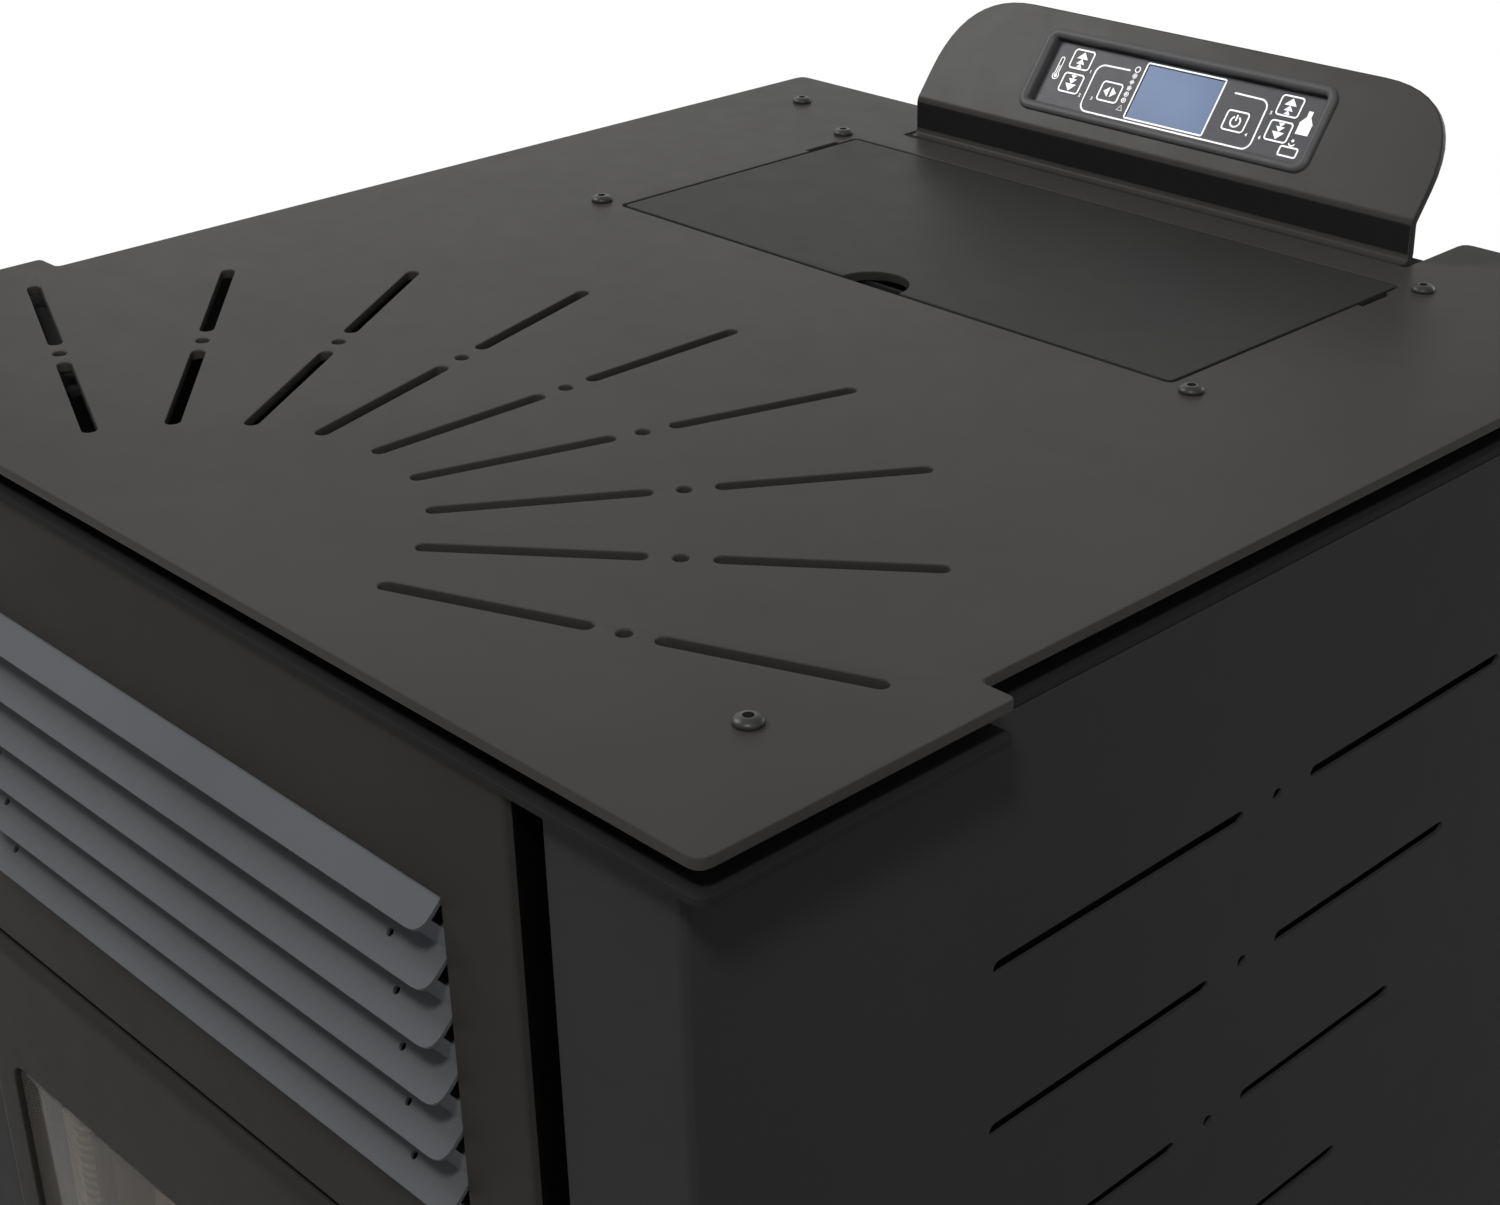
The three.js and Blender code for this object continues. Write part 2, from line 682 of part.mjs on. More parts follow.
// The welded frame behind the front: it closes the grooves and carries the fascia, the door pins and the firebox.
function frontFrame() {
  const y0 = pillarFace + grooveDepth + seat;
  const y1 = y0 + steel;
  const x = pillarInner + sheet + 16;
  const face = extrudeY(rectangle(-x, x, panBottom + 2, panelTop), y0, y1);
  const fireOpening = block(-fireHalf, fireHalf, y0 - 1, y1 + 1, fireboxFloor + 12, fireboxTop - 6);
  const airOpening = block(-grilleWidth / 2, grilleWidth / 2, y0 - 1, y1 + 1, fasciaBottom + 22, panelTop - 24);
  const drawerOpening = block(-158, 158, y0 - 1, y1 + 1, panTop + 2, fireboxFloor - 6);
  const hinges = [1, -1].map((end) => {
    const z = end > 0 ? doorTop - hingeLugDrop - hingeLug : doorBottom + hingeLugLift;
    const [pinLow, pinHigh] = end > 0 ? [z - hingePinLength, z + 1] : [z + hingeLug - 1, z + hingeLug + hingePinLength];
    const arm = block(-hingePinX - 7, -hingePinX + 7, hingePinY, y0 + 1, z, z + hingeLug);
    const knuckle = bar(7, [-hingePinX, hingePinY, z], [-hingePinX, hingePinY, z + hingeLug], 16);
    const pin = bar(hingePinDiameter / 2, [-hingePinX, hingePinY, pinLow], [-hingePinX, hingePinY, pinHigh], 14);
    return joinAll([arm, knuckle, pin]);
  });
  return joinAll([cutAll(face, [fireOpening, airOpening, drawerOpening]), ...hinges]);
}

function fascia() {
  const t = sheet;
  const y1 = pillarFace + grooveDepth;
  const line = [
    [-fasciaHalf + t / 2, y1],
    [-fasciaHalf + t / 2, fasciaFace + t / 2],
    [fasciaHalf - t / 2, fasciaFace + t / 2],
    [fasciaHalf - t / 2, y1],
  ];
  const wrap = extrudeZ(foldedSection(line, 1.5, t, 3), fasciaBottom, panelTop);
  const sillEnd = fasciaHalf - 2 * t;
  const sill = block(-sillEnd, sillEnd, fasciaFace + t / 2, y1 - t, fasciaBottom + 0.5, fasciaBottom + t + 0.5);
  const opening = rectangle(-grilleWidth / 2, grilleWidth / 2, grilleLow, grilleHigh, 1);
  return wrap.add(sill).subtract(extrudeY(opening, fasciaFace - 2, fasciaFace + t + 2));
}

const grilleHigh = height - firstBladeDrop + 1;
const grilleLow = height - firstBladeDrop - bladeCount * bladePitch - 1;

// The louvre grille: blades lanced from one sheet, folded out at an angle, with round outer corners.
function louvreGrille() {
  const y0 = fasciaFace + sheet + seat;
  const y1 = y0 + bladeThickness;
  const w = grilleWidth / 2;
  const back = extrudeY(rectangle(-w - 12, w + 12, grilleLow - 10, grilleHigh + 10, 4), y0, y1);
  const tilt = THREE.MathUtils.degToRad(bladeAngle);
  const pieces = [];
  const cutters = [];
  for (let i = 0; i < bladeCount; i++) {
    const z = height - firstBladeDrop - i * bladePitch;
    cutters.push(block(-w, w, y0 - 1, y1 + 1, z - bladeLength, z));
    const reach = bladeLength + sheet;
    const shape = outline([
      [-w + 1, 0],
      [w - 1, 0],
      [w - 1, reach, bladeCorner],
      [-w + 1, reach, bladeCorner],
    ]);
    const relief = [-1, 1].map((side) => extrudeZ(circleShape(side * (w - 27), 5, 3), -1, bladeThickness + 1, 4));
    const flat = cutAll(extrudeZ(shape, 0, bladeThickness, 5), i ? relief : []);
    const across = new THREE.Vector3(1, 0, 0);
    const outward = new THREE.Vector3(0, -Math.sin(tilt), -Math.cos(tilt));
    const m = new THREE.Matrix4().makeBasis(across, outward, across.clone().cross(outward));
    m.setPosition(0, y0, z + bladeThickness * 0.75);
    pieces.push(flat.transform(m.elements));
  }
  return joinAll([cutAll(back, cutters), ...pieces]);
}

// ---- door ---------------------------------------------------------------------------------------------------
function doorFrame() {
  const y0 = 0;
  const shell = extrudeZ(
    outline([
      [-fasciaHalf, y0, 7],
      [fasciaHalf, y0, 7],
      [fasciaHalf, doorThickness, 2],
      [-fasciaHalf, doorThickness, 2],
    ]),
    doorBottom,
    doorTop,
    4,
  );
  const roundOver = 9;
  const corner = new THREE.Shape();
  corner.moveTo(-1, doorTop + 1);
  corner.lineTo(-1, doorTop - roundOver);
  corner.lineTo(0, doorTop - roundOver);
  corner.quadraticCurveTo(0, doorTop, roundOver, doorTop);
  corner.lineTo(roundOver, doorTop + 1);
  corner.closePath();
  const topRound = extrudeX(corner, -fasciaHalf - 1, fasciaHalf + 1, 4);
  const window = rectangle(-windowSide, windowSide, doorWindowBottom, height - doorWindowTop, 10);
  const g = glassSeat;
  const rebate = rectangle(-windowSide - g, windowSide + g, doorWindowBottom - g, height - doorWindowTop + g, 12);
  const hollowRing = extrudeY(
    rectangle(-fasciaHalf + 4, fasciaHalf - 4, doorBottom + 4, doorTop - 12, 4),
    14.6,
    doorThickness + 1,
  ).subtract(
    extrudeY(
      rectangle(-windowSide - g - 3, windowSide + g + 3, doorWindowBottom - g - 3, height - doorWindowTop + g + 3, 12),
      12,
      doorThickness + 2,
    ),
  );
  const boreAt = (z) => [-hingePinX, hingePinY, z];
  const boreLength = hingePinLength + 4;
  const boreRadius = hingePinDiameter / 2 + seat;
  const lugRoom = (z0, z1) => block(-fasciaHalf - 1, -hingePinX + 9, hingePinY - 7.4, doorThickness + 1, z0, z1);
  const topRoom = doorTop - hingeLugDrop - hingeLug - 0.6;
  const lowRoom = doorBottom + hingeLugLift + hingeLug + 0.6;
  const pinBores = [
    bar(boreRadius, boreAt(topRoom - boreLength), boreAt(topRoom + 1), 16),
    bar(boreRadius, boreAt(lowRoom - 1), boreAt(lowRoom + boreLength), 16),
  ];
  const shaftHole = bar(handleShaftDiameter / 2 + seat, [handleX, -1, handleZ], [handleX, doorThickness + 1, handleZ], 16);
  return cutAll(shell, [
    topRound,
    extrudeY(window, -1, doorThickness + 1),
    extrudeY(rebate, 8, doorThickness + 1),
    hollowRing,
    ...pinBores,
    lugRoom(topRoom, doorTop + 1),
    lugRoom(doorBottom - 1, lowRoom),
    shaftHole,
  ]);
}

function doorGlass() {
  const m = glassSeat - seat;
  const shape = rectangle(-windowSide - m, windowSide + m, doorWindowBottom - m, height - doorWindowTop + m, 11);
  return extrudeY(shape, 8 + seat, 8 + seat + glassThickness);
}

function ringY(outer, inner, y0, y1) {
  outer.holes.push(inner);
  return extrudeY(outer, y0, y1);
}

function glassRetainer() {
  const y0 = 8 + 2 * seat + glassThickness;
  const m = glassSeat - seat;
  const top = height - doorWindowTop;
  return ringY(
    rectangle(-windowSide - m, windowSide + m, doorWindowBottom - m, top + m, 11),
    rectangle(-windowSide + 2, windowSide - 2, doorWindowBottom + 2, top - 2, 8),
    y0,
    y0 + 3,
  );
}

function doorGasket() {
  const y0 = doorThickness + seat;
  const y1 = pillarFace + grooveDepth - 0.2;
  const top = doorTop - 6;
  return ringY(
    rectangle(-fireHalf - 11, fireHalf + 11, fireboxFloor + 10, top, 12),
    rectangle(-fireHalf, fireHalf, fireboxFloor + 20, top - 10, 8),
    y0,
    y1,
  );
}

// The door handle: a shaft through the door with a latch tongue inside and a hanging lever outside.
function doorHandle() {
  const at = (y, z = handleZ) => [handleX, y, z];
  const shaft = bar(handleShaftDiameter / 2, at(-handleReach + 8), at(doorThickness + 5), 14);
  const boss = bar(11, at(-seat - 9), at(-seat), 20);
  const leverShape = outline([
    [handleX - 9, handleZ + 12, 8],
    [handleX - 9, handleZ - handleLength, 7],
    [handleX + 9, handleZ - handleLength, 7],
    [handleX + 9, handleZ + 12, 8],
  ]);
  const lever = extrudeY(leverShape, -handleReach, -handleReach + 11, 4);
  const tongue = block(handleX - 6, handleX + 13, doorThickness + 2, doorThickness + 5, handleZ - 6, handleZ + 6);
  return joinAll([shaft, boss, lever, tongue]);
}

// ---- ash drawer ---------------------------------------------------------------------------------------------
const drawerHalf = 150;
const drawerBack = fireboxBack - 8;
const railHalf = drawerHalf + seat;
function ashDrawer() {
  const face = extrudeY(rectangle(-fasciaHalf, fasciaHalf, panBottom + 4, drawerTop, 3), 0, 8);
  const grip = extrudeY(slotShape(-60, drawerTop - 24, 60, drawerTop - 24, 22), -1, 9, 6);
  const box = block(-drawerHalf, drawerHalf, 7, drawerBack, panTop + 5, fireboxFloor - 12);
  const inside = block(-drawerHalf + 2, drawerHalf - 2, 22, drawerBack - 2, panTop + 7, fireboxFloor);
  const fingerRoom = block(-66, 66, -1, 20, drawerTop - 38, drawerTop - 10);
  const lip = block(-72, 72, 8, 22, drawerTop - 44, fireboxFloor - 12);
  return face.add(box).subtract(inside).add(lip).subtract(fingerRoom.intersect(block(-80, 80, 7, 20, 0, 400))).subtract(grip);
}

// ---- firebox ------------------------------------------------------------------------------------------------
const augerDir = [
  0,
  -Math.cos(THREE.MathUtils.degToRad(augerAngle)),
  Math.sin(THREE.MathUtils.degToRad(augerAngle)),
];
const augerAt = (s) => [0, augerLowY + s * augerDir[1], augerLowZ + s * augerDir[2]];
const augerClear = (extra) => bar(augerTubeRadius + extra, augerAt(60), augerAt(augerLength + 60), 24);

function firebox() {
  const outer = block(-fireboxHalf, fireboxHalf, fireboxFront, fireboxBack, fireboxFloor, fireboxTop);
  const inner = block(
    -fireboxHalf + steel,
    fireboxHalf - steel,
    fireboxFront - 1,
    fireboxBack - steel,
    fireboxFloor + steel,
    fireboxTop - steel,
  );
  const ashFall = block(-70, 70, potY0 - 22, potY1 + 18, fireboxFloor - 1, fireboxFloor + steel + 1);
  const intake = bar(intakeDiameter / 2 + 2 * seat, [intakeX, fireboxBack - 9, intakeZ], [intakeX, fireboxBack + 2, intakeZ], 24);
  const smoke = block(62, 146, fireboxBack - 9, fireboxBack + 2, fireboxTop - 60, fireboxTop - 12);
  return cutAll(outer, [inner, ashFall, intake, smoke, augerClear(seat)]);
}

// The light heat-proof lining: a back slab with pressed grooves and a cheek along each side.
const linerThickness = 12;
function fireLining() {
  const y1 = fireboxBack - steel - seat;
  const x = fireboxHalf - steel - seat;
  const y0 = fireboxFront + 14;
  const outer = block(-x, x, y0, y1, fireboxFloor + steel + seat, baffleLow - 3);
  const inner = block(-x + linerThickness, x - linerThickness, y0 - 1, y1 - linerThickness, 0, height);
  const face = y1 - linerThickness;
  const grooves = [-90, -45, 0, 45, 90].map((gx) => block(gx - 1.5, gx + 1.5, face - 1, face + 2, 230, 560));
  const intakeBore = bar(intakeDiameter / 2 + 2 * seat, [intakeX, face - 9, intakeZ], [intakeX, y1 + 9, intakeZ], 24);
  return cutAll(outer, [inner, ...grooves, augerClear(2), intakeBore]);
}

const baffleLow = 640;
function baffle() {
  const x = fireboxHalf - steel - 2;
  const section = new THREE.Shape(
    [
      [fireboxBack - steel - seat, baffleLow],
      [fireboxBack - steel - seat, baffleLow + 12],
      [fireboxFront + 50, baffleLow + 38],
      [fireboxFront + 50, baffleLow + 26],
    ].map(([y, z]) => new THREE.Vector2(y, z)),
  );
  return extrudeX(section, -x, x);
}

const chuteTop = 488;
const chuteHalf = 38;
const potX = 58;
const potDepth = 100;
const potStandoff = 58; // firebox back to the pot
const potY1 = fireboxBack - potStandoff;
const potY0 = potY1 - potDepth;
const potBase = 216;
function potSupport() {
  const z0 = fireboxFloor + steel + seat;
  const outer = block(-potX - 26, potX + 26, potY0 - 16, potY1 + 24, z0, potBase - seat);
  const inner = block(-potX - 22, potX + 22, potY0 - 12, potY1 + 20, z0 - 1, potBase - seat - 4);
  const seatHole = block(-potX + 8, potX - 8, potY0 + 8, potY1 - 8, potBase - 9, potBase + 1);
  return cutAll(outer, [inner, seatHole]);
}

function burnPot() {
  const outer = extrudeZ(rectangle(-potX, potX, potY0, potY1, 10), potBase, potBase + 62);
  const inner = extrudeZ(rectangle(-potX + 4, potX - 4, potY0 + 4, potY1 - 4, 8), potBase + 5, potBase + 63);
  const rim = extrudeZ(rectangle(-potX - 6, potX + 6, potY0 - 6, potY1 + 6, 12), potBase + 58, potBase + 62);
  const holes = [];
  for (let i = -2; i <= 2; i++) {
    for (let j = -1; j <= 1; j++) {
      const at = [i * 19, (potY0 + potY1) / 2 + j * 24];
      holes.push(bar(3, [...at, potBase - 1], [...at, potBase + 7], 6));
    }
  }
  return cutAll(outer.add(rim), [inner, ...holes]);
}

// The open chute that guides pellets from the auger's mouth down to the burn pot.
function feedChute() {
  const back = fireboxBack - steel - linerThickness - 2 * seat;
  const section = (dy, dz) =>
    new THREE.Shape(
      [
        [back, chuteTop],
        [back, chuteTop - 28],
        [back - 44, chuteTop - 86],
        [back - 53, chuteTop - 76],
        [back - 20, chuteTop - 26],
        [back - 20, chuteTop],
      ].map(([y, z]) => new THREE.Vector2(y + dy, z + dz)),
    );
  const outer = extrudeX(section(0, 0), -chuteHalf, chuteHalf);
  return outer.subtract(extrudeX(section(-2, 1.5), -chuteHalf + 2, chuteHalf - 2));
}

// ---- hopper and auger ---------------------------------------------------------------------------------------
function loft(levels) {
  // levels: [x0, x1, y0, y1, z] from the bottom up, joined as one closed body
  const corners = levels.flatMap(([x0, x1, y0, y1, z]) => [
    [x0, y0, z],
    [x1, y0, z],
    [x1, y1, z],
    [x0, y1, z],
  ]);
  const faces = [
    [0, 2, 1],
    [0, 3, 2],
  ];
  for (let level = 0; level < levels.length - 1; level++) {
    const a = level * 4;
    for (let i = 0; i < 4; i++) {
      const j = (i + 1) % 4;
      faces.push([a + i, a + j, a + 4 + j], [a + i, a + 4 + j, a + 4 + i]);
    }
  }
  const last = (levels.length - 1) * 4;
  faces.push([last, last + 1, last + 2], [last, last + 2, last + 3]);
  const geometry = new THREE.BufferGeometry();
  geometry.setAttribute("position", new THREE.BufferAttribute(new Float32Array(corners.flat()), 3));
  geometry.setIndex(faces.flat());
  return solidOf(geometry);
}

const collarTop = 448;
const collarHalf = 28;
const collarBack = augerLowY - 10;
const collarFront = collarBack - 60;
const hopperTop = height - topThickness - seat;
const hopperNeck = deckBottom - 16;
const hopperShoulder = deckBottom - 48;
const hopperWaist = 640;

function hopper() {
  const levels = (t) => [
    [-collarHalf + t, collarHalf - t, collarFront + t, collarBack - t, collarTop + seat - (t ? 1 : 0)],
    [-hopperHalf + t, hopperHalf - t, hopperFront + t, hopperBack - t, hopperWaist],
    [-hopperHalf + t, hopperHalf - t, hopperFront + t, hopperBack - t, hopperShoulder],
    [-hopperHalf + t, hopperHalf - t, hopperRimFront + t, hopperRimBack - t, hopperNeck],
    [-hopperHalf + t, hopperHalf - t, hopperRimFront + t, hopperRimBack - t, hopperTop + (t ? 1 : 0)],
  ];
  const flange = block(
    -hopperHalf - 12,
    hopperHalf + 12,
    hopperRimFront - 8,
    hopperRimBack + 2,
    deckBottom - 2.3,
    deckBottom - seat,
  );
  return loft(levels(0)).add(flange).subtract(loft(levels(sheet)));
}

// The tube the auger turns in, with the collar that the hopper drops into and the plate that closes its low end.
function augerTube() {
  const axisZ = (y) => augerLowZ + augerLowY - y;
  const throat = (wall, top) =>
    new THREE.Shape([
      new THREE.Vector2(collarFront + wall, axisZ(collarFront + wall)),
      new THREE.Vector2(collarFront + wall, top),
      new THREE.Vector2(collarBack - wall, top),
      new THREE.Vector2(collarBack - wall, axisZ(collarBack - wall)),
    ]);
  const body = bar(augerTubeRadius, augerAt(-8), augerAt(augerLength - 6), 24);
  const endPlate = bar(augerTubeRadius + 7, augerAt(-8), augerAt(-4), 24);
  const collar = extrudeX(throat(0, collarTop), -collarHalf, collarHalf);
  const bore = bar(augerTubeRadius - steel, augerAt(-3.5), augerAt(augerLength + 10), 24);
  const shaftHole = bar(augerShaftRadius + seat + 0.4, augerAt(-9), augerAt(-3), 16);
  const drop = extrudeX(throat(steel, collarTop + 1), -collarHalf + steel, collarHalf - steel);
  return cutAll(joinAll([body, endPlate, collar]), [bore, shaftHole, drop]);
}

// A shaft with a helical flight.
function augerScrew() {
  const length = augerLength - 26;
  const shaft = bar(augerShaftRadius, augerAt(-22), augerAt(length + 8), 10);
  const perTurn = 9;
  const steps = Math.floor((length / augerPitch) * perTurn);
  const thickness = 2.4;
  const rootRadius = augerShaftRadius - 1.5;
  const positions = [];
  const faces = [];
  for (let i = 0; i <= steps; i++) {
    const angle = (i / perTurn) * 2 * Math.PI;
    const z = (i / perTurn) * augerPitch;
    const c = Math.cos(angle);
    const s = Math.sin(angle);
    positions.push(rootRadius * c, rootRadius * s, z);
    positions.push(augerRadius * c, augerRadius * s, z);
    positions.push(augerRadius * c, augerRadius * s, z + thickness);
    positions.push(rootRadius * c, rootRadius * s, z + thickness);
  }
  for (let i = 0; i < steps; i++) {
    for (let k = 0; k < 4; k++) {
      const a = 4 * i + k;
      const b = 4 * i + ((k + 1) % 4);
      faces.push(a, a + 4, b + 4, a, b + 4, b);
    }
  }
  const last = 4 * steps;
  faces.push(0, 1, 2, 0, 2, 3, last, last + 2, last + 1, last, last + 3, last + 2);
  const geometry = new THREE.BufferGeometry();
  geometry.setAttribute("position", new THREE.BufferAttribute(new Float32Array(positions), 3));
  geometry.setIndex(faces);
  let flight = solidOf(geometry);
  if (flight.volume() < 0) flight = solidOf(geometry.setIndex(faces.slice().reverse()));
  const turn = new THREE.Matrix4().makeRotationX(Math.PI / 2 - THREE.MathUtils.degToRad(augerAngle));
  turn.setPosition(...augerAt(4));
  return shaft.add(flight.transform(turn.elements));
}

function augerMotor() {
  const gearbox = bar(augerTubeRadius, augerAt(-44), augerAt(-8 - seat), 20);
  const can = bar(24, augerAt(-84), augerAt(-43), 20);
  const bore = bar(augerShaftRadius + seat, augerAt(-26), augerAt(-5), 14);
  return gearbox.add(can).subtract(bore);
}

// ---- smoke path and fans ------------------------------------------------------------------------------------
const ductBack = fireboxBack + 36;
function smokeDuct() {
  const outer = block(56, 152, fireboxBack + seat, ductBack, 120, fireboxTop - 4);
  const inner = block(58, 150, fireboxBack - 1, ductBack - 2, 122, fireboxTop - 6);
  const closing = block(58, 150, fireboxBack + seat, fireboxBack + seat + 2, 122, fireboxTop - 66);
  const outlet = bar(31, [fanX, ductBack - 4, fanZ], [fanX, ductBack + 2, fanZ], 20);
  return outer.subtract(inner).add(closing).subtract(outlet);
}

const voluteFront = ductBack + seat;
const voluteBack = voluteFront + 48;
function fanHousing() {
  const drum = (r, y0, y1) => bar(r, [fanX, y0, fanZ], [fanX, y1, fanZ], 28);
  const x0 = flueX - flueDiameter / 2 + 1;
  const throat = (t) =>
    block(x0 + t, fanX, voluteFront + t, voluteBack - t, fanZ - volute + t, flueZ + flueDiameter / 2 + 2 - t);
  const outer = drum(volute, voluteFront, voluteBack).add(throat(0));
  const inner = drum(volute - 3, voluteFront + 3, voluteBack - 3).add(throat(3));
  const inlet = bar(28, [fanX, voluteFront - 1, fanZ], [fanX, voluteFront + 5, fanZ], 20);
  const shaft = bar(6, [fanX, voluteBack - 5, fanZ], [fanX, voluteBack + 1, fanZ], 14);
  const spigot = bar(flueDiameter / 2 - 4, [flueX, voluteBack - 5, flueZ], [flueX, voluteBack + 1, flueZ], 24);
  return cutAll(outer, [inner, inlet, shaft, spigot]);
}

function impeller() {
  const y0 = voluteFront + 8;
  const disc = bar(54, [fanX, y0 + 28, fanZ], [fanX, y0 + 31, fanZ], 24);
  const hub = bar(12, [fanX, y0 + 4, fanZ], [fanX, y0 + 30, fanZ], 14);
  const shaft = bar(4, [fanX, y0 + 20, fanZ], [fanX, voluteBack + 24, fanZ], 12);
  const vanes = [];
  for (let i = 0; i < 8; i++) {
    const vane = block(8, 52, y0 + 4, y0 + 29, -1.2, 1.2);
    vanes.push(vane.rotate([0, i * 45, 0]).translate([fanX, 0, fanZ]));
  }
  return joinAll([disc, hub, shaft, ...vanes]);
}

function fanMotor() {
  const y0 = voluteBack + seat;
  const can = bar(36, [fanX, y0, fanZ], [fanX, y0 + 70, fanZ], 24);
  return can.subtract(bar(4 + seat, [fanX, y0 - 1, fanZ], [fanX, y0 + 26, fanZ], 12));
}

const fluePipe = () =>
  tube(flueDiameter / 2, 2, [flueX, voluteBack + seat, flueZ], [flueX, depth + flueReach, flueZ], 32);

const intakePipe = () =>
  tube(intakeDiameter / 2, 2, [intakeX, fireboxBack - 6, intakeZ], [intakeX, depth + intakeReach, intakeZ], 24);

function blowerHousing() {
  const r = blowerRadius + 6;
  const at = (x) => [x, blowerY, blowerZ];
  const outer = bar(r + 2, at(blowerX0), at(blowerX1), 24);
  const inner = bar(r, at(blowerX0 + 3), at(blowerX1 - 3), 24);
  const spout = (t) => block(blowerX0 + t, blowerX1 - t, blowerY - r - 2 + t, blowerY - 2 - t, blowerZ, blowerZ + r + 12);
  const mouth = block(blowerX0 + 3, blowerX1 - 3, blowerY - r, blowerY - 4, blowerZ, blowerZ + r + 14);
  const intake = block(blowerX0 + 3, blowerX1 - 3, blowerY + 8, blowerY + r + 4, blowerZ - r * 0.5, blowerZ + r * 0.5);
  const bearings = bar(3 + seat, at(blowerX0 - 1), at(blowerX1 + 1), 12);
  const foot = block(blowerX0, blowerX1, blowerY - 14, blowerY + 14, panBottom + sheet + seat, blowerZ - r);
  return cutAll(outer.add(spout(0)).add(foot), [inner, mouth, intake, bearings]);
}

function blowerRotor() {
  const at = (x) => [x, blowerY, blowerZ];
  const x0 = blowerX0 + 6;
  const x1 = blowerX1 - 6;
  const pieces = [bar(3, at(blowerX0 + 0.5), at(blowerX1 - 0.5), 10)];
  for (const x of [x0, (x0 + x1) / 2 - 1, x1 - 2]) pieces.push(bar(blowerRadius, at(x), at(x + 2), 20));
  for (let i = 0; i < 14; i++) {
    const blade = block(x0, x1, blowerRadius - 9, blowerRadius - 1, -0.7, 0.7);
    pieces.push(blade.rotate([(i * 360) / 14, 0, 0]).translate([0, blowerY, blowerZ]));
  }
  return joinAll(pieces);
}

// ---- mains inlet --------------------------------------------------------------------------------------------
const inletX = half - 72;
const inletZ = 250;
function mainsInlet() {
  const y1 = depth + seat;
  const flange = block(inletX - 30, inletX + 30, y1, y1 + 3, inletZ - 19, inletZ + 19);
  const body = block(inletX - 23, inletX + 23, backFace - 28, y1 + 1, inletZ - 13, inletZ + 13);
  const socket = block(inletX - 19, inletX + 3, backFace - 16, y1 + 4, inletZ - 9, inletZ + 9);
  const well = block(inletX + 7, inletX + 20, backFace - 12, y1 + 4, inletZ - 10, inletZ + 10);
  const prongs = [-6, 0, 6].map((d) =>
    block(inletX - 8 + d - 1, inletX - 8 + d + 1, backFace - 17, y1 - 2, inletZ - (d ? 3 : -1), inletZ + (d ? 1 : 5)),
  );
  return joinAll([cutAll(flange.add(body), [socket, well]), ...prongs]);
}

function mainsSwitch() {
  const y = depth + seat + 3;
  const section = new THREE.Shape(
    [
      [y - 9, inletZ - 7],
      [y + 1.6, inletZ - 8.6],
      [y - 0.4, inletZ],
      [y + 0.4, inletZ + 8.6],
      [y - 9, inletZ + 7],
    ].map(([a, b]) => new THREE.Vector2(a, b)),
  );
  return extrudeX(section, inletX + 7.5, inletX + 19.5);
}

// ---- assembly -----------------------------------------------------------------------------------------------
const stove = new THREE.Group();
stove.position.y = -(frontReach + backReach) / 2;

function place(name, solid, material) {
  stove.add(meshOf(name, solid, material));
}

place("top_plate", topPlate(), blackPaint);
place("deck_plate", deck(), blackPaint);
screwPlaces.forEach(([x, y], i) => {
  const screw = meshOf(`top_screw_${i + 1}`, topScrew(), blackPaint);
  screw.position.set(x, y, height);
  stove.add(screw);
});
place("hopper_lid", hopperLid(), blackPaint);

place("console_bezel", consoleBezel(), rubber);
place("keypad", keypad(), plastic);
for (const [name, at] of Object.entries(keyPlaces)) place(name, key(at), plastic);
place("display_screen", displayScreen(), screen);

place("right_side_panel", sidePanel(), panelPaint);
place("left_side_panel", mirrorX(sidePanel()), panelPaint);
place("base_pan", basePan(), blackPaint);
["foot_front_left", "foot_front_right", "foot_back_left", "foot_back_right"].forEach((name, i) =>
  place(name, foot(footPlaces[i]), rubber),
);
place("right_heat_shield", heatShield(), rawSteel);
place("left_heat_shield", mirrorX(heatShield()), rawSteel);
place("back_panel", backPanel(), blackPaint);
place("front_frame", frontFrame(), blackPaint);
place("front_fascia", fascia(), blackPaint);
place("louvre_grille", louvreGrille(), greyPaint);

place("door_frame", doorFrame(), blackPaint);
place("door_glass", doorGlass(), glass);
place("glass_retainer", glassRetainer(), blackPaint);
place("door_gasket", doorGasket(), ropeSeal);
place("door_handle", doorHandle(), rawSteel);

place("ash_drawer", ashDrawer(), blackPaint);

place("firebox", firebox(), castIron);
place("fire_lining", fireLining(), liner);
place("baffle", baffle(), liner);
place("pot_support", potSupport(), castIron);
place("burn_pot", burnPot(), castIron);
place("feed_chute", feedChute(), castIron);

place("hopper", hopper(), rawSteel);
place("auger_tube", augerTube(), castIron);
place("auger_screw", augerScrew(), rawSteel);
place("auger_motor", augerMotor(), rawSteel);

place("smoke_duct", smokeDuct(), rawSteel);
place("exhaust_housing", fanHousing(), rawSteel);
place("exhaust_impeller", impeller(), rawSteel);
place("exhaust_motor", fanMotor(), castIron);
place("flue_pipe", fluePipe(), blackPaint);
place("intake_pipe", intakePipe(), rawSteel);
place("blower_housing", blowerHousing(), rawSteel);
place("blower_rotor", blowerRotor(), rawSteel);
place("mains_inlet", mainsInlet(), plastic);
place("mains_switch", mainsSwitch(), plastic);

export default stove;
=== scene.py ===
# A free-standing pellet stove: paint, printed keypad, rounded edges and a soft white studio, in metres.
import json
import math

import bmesh
import bpy
from mathutils import Matrix, Vector


